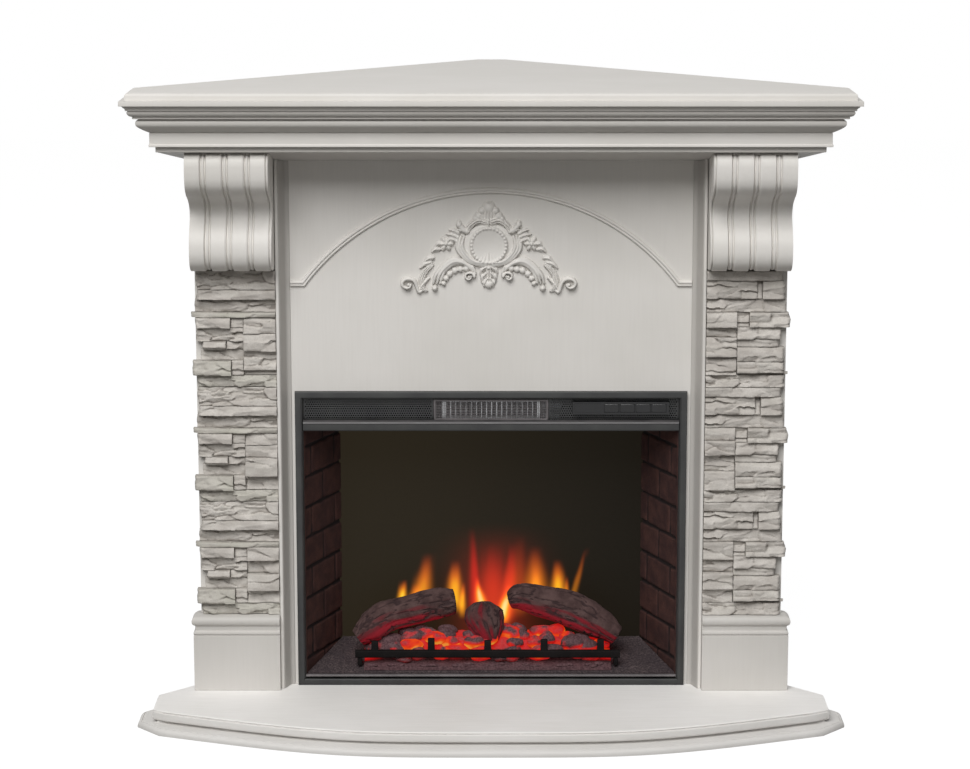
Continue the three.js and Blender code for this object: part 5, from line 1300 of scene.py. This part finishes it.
# flame screen: a flat plate; the light on it is a dim olive haze plus tongues, each of which
# is exp(-(across / width)^2) times a fade towards its tip, with a hotter core near its foot
def makeScreen(finish):
    screen = {"half": 322, "low": 36.8, "high": 498.2, "face": 150, "thick": 3, "unlit": 0.002}
    x = np.linspace(-screen["half"], screen["half"], 281)
    z = np.concatenate([np.linspace(screen["low"], 330, 128), np.linspace(335, screen["high"], 22)])
    gx, gz = np.meshgrid(x, z)
    # middle x, half width, foot, tip, lean, heat of the foot, red share
    tongues = [
        (-164, 7, 146, 180, 3, 1.05, 0.12), (-130, 15, 146, 222, 14, 0.72, 0.36),
        (-140, 10, 146, 175, 4, 0.6, 0.38),
        (-67, 12, 150, 212, 2, 0.9, 0.28), (-53, 5, 140, 176, 2, 0.8, 0.34),
        (-29, 9, 150, 262, -5, 0.42, 1.0),
        (3, 25, 120, 236, 0, 0.44, 0.93), (-18, 8, 145, 186, -9, 1.35, 0.6), (22, 9, 125, 170, 10, 1.4, 0.55),
        (28, 12, 130, 235, 11, 0.62, 0.9), (48, 14, 140, 250, 5, 0.24, 0.72), (82, 19, 150, 234, 0, 0.66, 0.38),
        
        (82, 11, 150, 205, 0, 0.4, 0.2), (123, 11, 158, 214, 1, 0.95, 0.25), (138, 4, 158, 188, 0, 0.5, 0.4),
        (150, 5, 155, 232, 21, 0.3, 0.36),
    ]
    light = np.zeros((*gx.shape, 3))
    haze = smoothStep(gx, 330, -260)
    light += np.array(shade(37, 31, 20)[:3]) * (0.38 + 0.62 * haze)[..., None]
    warm = np.exp(-((gx - 8) / 62) ** 2) * smoothStep(gz, 300, 175)
    light += np.array(shade(118, 22, 10)[:3]) * (0.8 * warm)[..., None]
    place = np.stack([gx, gx * 0, gz], -1)
    flicker = smoothNoise(place, (9, 9, 46), 17)
    for middle, width, foot, tip, lean, flameGlowAndPaintedFirelight, red in tongues:
        up = np.clip((gz - foot) / (tip - foot), 0, 1.4)
        across = (gx - middle - lean * up - 3 * flicker * up) / (width * (1.05 - 0.45 * np.clip(up, 0, 1)))
        shape = np.exp(-np.abs(across) ** 2.4) * (1 - smoothStep(up, 0.35, 1.25))
        shape = shape * smoothStep(gz, foot - 30, foot)
        glow = flameGlowAndPaintedFirelight * shape
        light[..., 0] += glow * 1.05
        light[..., 1] += glow * (0.34 * (1 - red) + 0.014) * (1.6 - up).clip(0.4, 1.6)
        light[..., 1] += 0.5 * np.clip(glow - 0.55, 0, 1) ** 1.5
        light[..., 2] += 0.012 * glow + 0.75 * np.clip(glow - 0.95, 0, 1) ** 1.4
    light = np.minimum(light, [1.0, 0.9, 0.7])
    grid = np.stack([gx, np.full_like(gx, screen["face"]), gz], -1)
    whole = plateSkin(grid, lambda edge: [edge + [0, screen["thick"], 0]])
    colour = np.full((len(whole[0]), 4), screen["unlit"])
    colour[:gx.size, :3] = light.reshape(-1, 3)
    colour[:, 3] = 1
    addPiece("flameScreen", whole, finish, ("flame_screen",), values={"glow": colour})
    print("flame screen done")


def floorHeight(y):
    return 55 + 25 * y / 150


# the same points, but on the floor's slope, raised by lift
def underFloor(edge, lift):
    return np.column_stack([edge[:, :2], floorHeight(edge[:, 1]) + lift])


def makeAsh(finish):
    tray = {"front": 3, "back": 149.7, "frontHalf": 328.5, "backHalf": 272.5, "thick": 4, "rise": 1.1}
    t, s = np.meshgrid(np.linspace(0, 1, 74), np.linspace(-1, 1, 300), indexing="ij")
    y = tray["front"] + t * (tray["back"] - tray["front"])
    x = s * (tray["frontHalf"] + t * (tray["backHalf"] - tray["frontHalf"]))
    place = np.stack([x, y, x * 0], -1)
    bumps = layeredNoise(place, (11, 9, 9), 4, 5) + 0.8 * np.clip(layeredNoise(place, (4, 4, 9), 2, 6), 0, 1)
    top = np.stack([x, y, floorHeight(y) + tray["rise"] * bumps - 0.6], -1)
    plate = plateSkin(top, lambda edge: [underFloor(edge, -tray["thick"])])
    legs = [box(x0, x0 + 12, 30, 120, 36.8, 57, 0.5) for x0 in (-260, 248)]
    addPiece("ashFloor", together(plate, *legs), finish, ("ash_floor",), sharp=60)
    print("ash floor done")


# log: rings round a smooth line, radius swollen by slow waves, cut by fissures that run
# along it and broken at the ends
def logSkin(log, seed, up=(0, 0, 1)):
    count, around = 150, 96
    line = smoothCurve(log["line"], count)
    radii = np.interp(np.linspace(0, 1, count), np.linspace(0, 1, len(log["radii"])), log["radii"])
    along = np.gradient(line, axis=0)
    lengths = np.linalg.norm(along, axis=1)
    along /= lengths[:, None]
    side = np.cross(along, up)
    side /= np.linalg.norm(side, axis=1)[:, None]
    top = np.cross(side, along)
    angle = np.linspace(0, 2 * np.pi, around, endpoint=False)
    travel = np.cumsum(lengths) - lengths[0]
    c, s = np.cos(angle)[None, :], np.sin(angle)[None, :]
    r = radii[:, None]
    place = np.stack([20 * c + 0 * r, 20 * s + 0 * r, travel[:, None] + 0 * c], -1)
    bark = layeredNoise(place, (9, 9, 42), 4, seed)
    lumps = layeredNoise(place, (26, 26, 38), 2, seed + 3)
    cracks = np.abs(layeredNoise(place, (7, 7, 30), 3, seed + 7))
    fissure = 1 - smoothStep(cracks, 0.0, 0.16)
    # flat broken facets
    facets = np.abs(smoothNoise(place, (17, 17, 55), seed + 11))
    oval = 0.05 * np.cos(2 * angle + 0.02 * travel[:, None])
    swell = r * (1 + 0.10 * lumps + oval) + 1.8 * bark - 2.2 * fissure + 1.6 * facets
    ends = np.ones(count)
    ends[:4] = [0.12, 0.55, 0.86, 0.97]
    ends[-4:] = [0.97, 0.86, 0.55, 0.12]
    swell = swell * ends[:, None]
    middle = line.copy()
    middle[:4] = line[3] + (line[:4] - line[3]) * 0.45
    middle[-4:] = line[-4] + (line[-4:] - line[-4]) * 0.45
    points = middle[:, None] + swell[..., None] * (c[..., None] * side[:, None] + s[..., None] * top[:, None])
    streaks = layeredNoise(place, (6, 6, 60), 3, seed + 27)
    # painted firelight: the underside of a lying log, or the lower end of the standing one, is reddened and
    # made to glow as if lit by the coals
    low = -s if log["lying"] else 0.9 - 1.5 * (travel / travel[-1])[:, None]
    below = smoothStep(low + 0.35 * lumps + 0.6 * streaks, -0.7, 0.9) * log["flameGlowAndPaintedFirelight"]
    flameGlowAndPaintedFirelight = np.clip(below * (0.72 + 1.2 * streaks) - 0.5 * fissure * below, 0, 1)
    return ringSkin(points), flameGlowAndPaintedFirelight.ravel(), fissure.ravel()


def makeLogs(finish):
    logs = [
        ("logLeft", "log_left", {
            "line": [(-243, 56, 103), (-222, 60, 119), (-190, 65, 140),
                     (-150, 72, 150), (-108, 82, 158), (-62, 90, 163)],
            "radii": [15, 23, 29, 28, 26, 26, 27, 27, 22], "flameGlowAndPaintedFirelight": 1.0, "lying": True}, 11, (0, 0, 1)),
        ("logRight", "log_right", {
            "line": [(32, 93, 164), (56, 90, 171), (94, 84, 163),
                     (140, 76, 153), (186, 66, 133), (232, 58, 104)],
            "radii": [15, 23, 26, 27, 28, 30, 29, 25, 16], "flameGlowAndPaintedFirelight": 1.0, "lying": True}, 23, (0, 0, 1)),
        ("logCentre", "log_centre", {
            "line": [(2, 46, 97), (-3, 54, 112), (-9, 64, 130), (-14, 74, 147), (-16, 82, 164)],
            "radii": [11, 20, 28, 33, 35, 30, 14], "flameGlowAndPaintedFirelight": 0.8, "lying": False}, 37, (0, 1, 0)),
    ]
    for name, node, log, seed, up in logs:
        whole, flameGlowAndPaintedFirelight, fissure = logSkin(log, seed, up)
        addPiece(name, whole, finish, (node,),
                 sharp=60, values={"warmth": flameGlowAndPaintedFirelight, "fissure": fissure})
    print("logs done")


# coals: lumps are balls squashed and dented by noise, laid along rows on a low mound
def makeCoals(finish):
    bed = {"half": 222, "front": 10, "back": 108, "shift": -6, "heap": 36, "heapFront": 29, "lumps": 66,
           "seed": 8}
    chance = np.random.default_rng(bed["seed"])

    def heapAt(x, y):
        rise = smoothStep(y, bed["heapFront"], bed["heapFront"] + 23)
        return bed["heap"] * (1 - (x / bed["half"]) ** 4) * rise * (1 - 0.35 * smoothStep(y, 80, bed["back"]))

    y, x = np.meshgrid(np.linspace(bed["front"], bed["back"], 50), np.linspace(-bed["half"], bed["half"], 200),
                       indexing="ij")
    place = np.stack([x, y, x * 0], -1)
    z = floorHeight(y) + 6 + heapAt(x, y) + 2.5 * layeredNoise(place, (16, 14, 9), 3, 40)
    mound = plateSkin(np.stack([x, y, z], -1), lambda edge: [underFloor(edge, joint)])
    moundHeat = 0.46 + 0.5 * layeredNoise(mound[0], (26, 18, 18), 3, 44)
    nearBar = smoothStep(mound[0][:, 1], 27, bed["heapFront"] + 19)
    moundHeat = moundHeat * (0.1 + 0.9 * nearBar)

    turns, levels = 14, 9
    polar = np.linspace(0.0, np.pi, levels + 2)[1:-1]
    around = np.linspace(0, 2 * np.pi, turns, endpoint=False)
    ball = np.stack([np.sin(polar)[:, None] * np.cos(around), np.sin(polar)[:, None] * np.sin(around),
                     np.cos(polar)[:, None] * np.ones(turns)], -1).reshape(-1, 3)
    ball = np.vstack([ball, [0, 0, 1], [0, 0, -1]])
    sides = gridFaces(levels, turns, True)
    ringStart = (levels - 1) * turns
    k = np.arange(turns)
    caps = np.concatenate([
        np.stack([(k + 1) % turns, k, np.full(turns, levels * turns)], -1),
        np.stack([ringStart + k, ringStart + (k + 1) % turns, np.full(turns, levels * turns + 1)], -1),
    ])
    skins, heats = [mound], [moundHeat]
    for i in range(bed["lumps"]):
        x0 = -bed["half"] + 14 + (2 * bed["half"] - 28) * ((i * 0.618034) % 1)
        row = i % 4
        y0 = (37, 46, 58, 76)[row] + chance.uniform(-3, 3)
        size = chance.uniform(10.5, 17.5)
        if i % 3 == 0:
            y0, size = chance.uniform(13, 25), chance.uniform(3.6, 6.4)
        low = 0.5 if y0 < 30 else 0.85
        stretch = np.array([chance.uniform(1.1, 1.7), chance.uniform(0.8, 1.2),
                            low * chance.uniform(0.85, 1.15)])
        spin = chance.uniform(-0.5, 0.5)
        lump = ball * size * stretch
        dent = layeredNoise(ball * 10 + i * 17.3, (9, 9, 9), 2, 60 + i)
        flats = np.round(smoothNoise(ball * 10 - i * 9.1, (12, 12, 12), 90 + i) * 2) / 2
        lump = lump * (1 + 0.26 * dent + 0.18 * flats)[:, None]
        turned = np.column_stack([lump[:, 0] * np.cos(spin) - lump[:, 1] * np.sin(spin),
                                  lump[:, 0] * np.sin(spin) + lump[:, 1] * np.cos(spin), lump[:, 2]])
        z0 = floorHeight(y0) + 6 + float(heapAt(x0, y0)) + size * stretch[2] * 0.3
        skins.append(skin(turned + [x0, y0, z0], sides, caps))
        core = chance.uniform(-0.15, 0.14) + 0.42 * (chance.uniform() < 0.3)
        under = smoothStep(-turned[:, 2] / (size * stretch[2]), -0.5, 0.7)
        patches = layeredNoise(turned + i * 31, (11, 11, 11), 3, 3)
        rise = turned[:, 2] + z0 - floorHeight(turned[:, 1] + y0) - 6
        dimmed = (0.3 if y0 < 30 else 1) * (0.34 + 0.66 * smoothStep(rise, 6, 15))
        heats.append(np.clip((core + 0.6 * under + 0.75 * np.clip(patches, -0.3, 1)) * dimmed, 0, 1))
    whole = moved(together(*skins), bed["shift"])
    addPiece("coalBed", whole, finish, ("ember_bed",),
             sharp=60, values={"warmth": np.concatenate(heats)})
    print("coals done")


def makeGrate(plastic):
    grate = {"half": 238, "front": 18, "back": 28, "low": 77, "high": 91, "uprights": 5, "spacing": 101.4,
             "shift": -6, "width": 11, "reach": 22}
    y0, y1, z0, z1 = grate["front"], grate["back"], grate["low"], grate["high"]
    bar = roundCorners([[y0, z0], [y1, z0], [y1, z1], [y0, z1]], 3, 4)
    parts = [barSkin(bar, -grate["half"], grate["half"])]
    for i in range(grate["uprights"]):
        x = (i - 2) * grate["spacing"]
        top = grate["reach"] - (5, 0, 4, 2, 2)[i]
        levels = np.array([z1 - 5, z1, z1 + 8, z1 + top - 2, z1 + top - 0.6, z1 + top])
        widths = np.array([6.6, 6.6, 6.2, 6.1, 5.6, 4.6])
        depths = np.array([4, 4, 3.8, 3.8, 3.2, 2.4])
        square = roundCorners([[-1, -1], [1, -1], [1, 1], [-1, 1]], 0.3, 3)
        parts.append(stackSkin([
            (square * [w, d] + [x, (y0 + y1) / 2], z) for w, d, z in zip(widths, depths, levels)
        ]))
    footBack = 45
    foot = floorHeight(footBack) + joint
    for x in (-grate["half"] + 4, grate["half"] - 12):
        parts.append(box(x, x + 8, y0 + 2, y1 - 1, foot, z0 + 3, 0.8))
        parts.append(box(x, x + 8, y1 - 2, footBack, foot, foot + 5, 0.8))
    addPiece("grate", moved(together(*parts), grate["shift"]), plastic, ("grate",), sharp=40)
    print("grate done")


def main():
    makeCamera()
    makeLamps()
    makeWorld()
    makeFloor()
    paintLevel = paintMaterial("satinPaintLevel", (0.06, 1, 1))
    paintUpright = paintMaterial("satinPaintUpright", (1, 1, 0.05))
    paintCarved = paintMaterial("satinPaintCarved", (0.5, 0.5, 0.5))
    steel = blackSteelMaterial("blackSteel", (40, 40, 41), (54, 55, 54))
    # a pale copy of the black steel, which paints light: a highlight on the tray's lip and a lighter look on
    # the heater guard's mesh
    paleHighlightSteel = blackSteelMaterial("paleSteelPaintedHighlight", (84, 80, 81), (108, 103, 104))
    gloss = plasticMaterial("blackGloss", (12, 12, 14), (19, 19, 21), 0.24, 0.00001, 0.1, 0.4)
    board = boardMaterial()
    aluminium = metalMaterial("bareAluminium", (186, 188, 190), (214, 216, 218), 0.28, (1, 8, 8))
    motorSteel = metalMaterial("motorSteel", (138, 141, 145), (168, 171, 175), 0.34, (8, 1, 1))
    circuit = circuitMaterial()
    plastic = plasticMaterial("blackMoulding", (13, 11, 11), (22, 19, 19), 0.7, sheen=0.1)

    # the hearth's paint is a whiter copy of the satin paint, painted light that makes its top read brightly
    # lit, and it carries painted shade on the slab's edge and the skirt
    makeHearth(paintMaterial("satinPaintHearthPaintedLightAndShade", (0.06, 1, 1), (250, 248, 246), (245, 243, 240), True), board)
    # the satin paint with painted shade, greyed by each piece's value
    satinWithPaintedShade = paintMaterial("satinPaintWithPaintedShade", (1, 1, 0.06), withPaintedShade=True)
    makeCornice(paintLevel, satinWithPaintedShade)
    makePlinths(paintUpright, satinWithPaintedShade)
    makeCorbels(paintCarved)
    makeCladding(stoneMaterial())
    makeArch(paintCarved)
    makeOrnament(paintCarved)
    makeTrim(steel, paleHighlightSteel, blackSteelMaterial("dullSteel", (44, 42, 43), (58, 55, 56)))
    makeGrille(steel, paleHighlightSteel)
    makeKeys(gloss)
    makeBricks(brickMaterial())
    makeScreen(screenMaterial())
    makeAsh(ashMaterial())
    makeLogs(barkMaterial())
    makeCoals(emberMaterial())
    makeGrate(plastic)
    dress(paintUpright, "front_panel", "column_core_left", "column_core_right")
    dress(board, "side_panel_left", "side_panel_right", "back_post")
    dress(steel, "firebox_case", "blower_housing")
    dress(gloss, "control_panel", "display_window")
    dress(circuit, "control_board", "flame_led_board", "ember_led_board")
    dress(aluminium, "blower_wheel", "heating_element", "flame_spindle")
    dress(motorSteel, "blower_motor", "spindle_motor")
    dress(plastic, "power_inlet")
    bpy.context.scene.view_settings.view_transform = "Standard"


main()
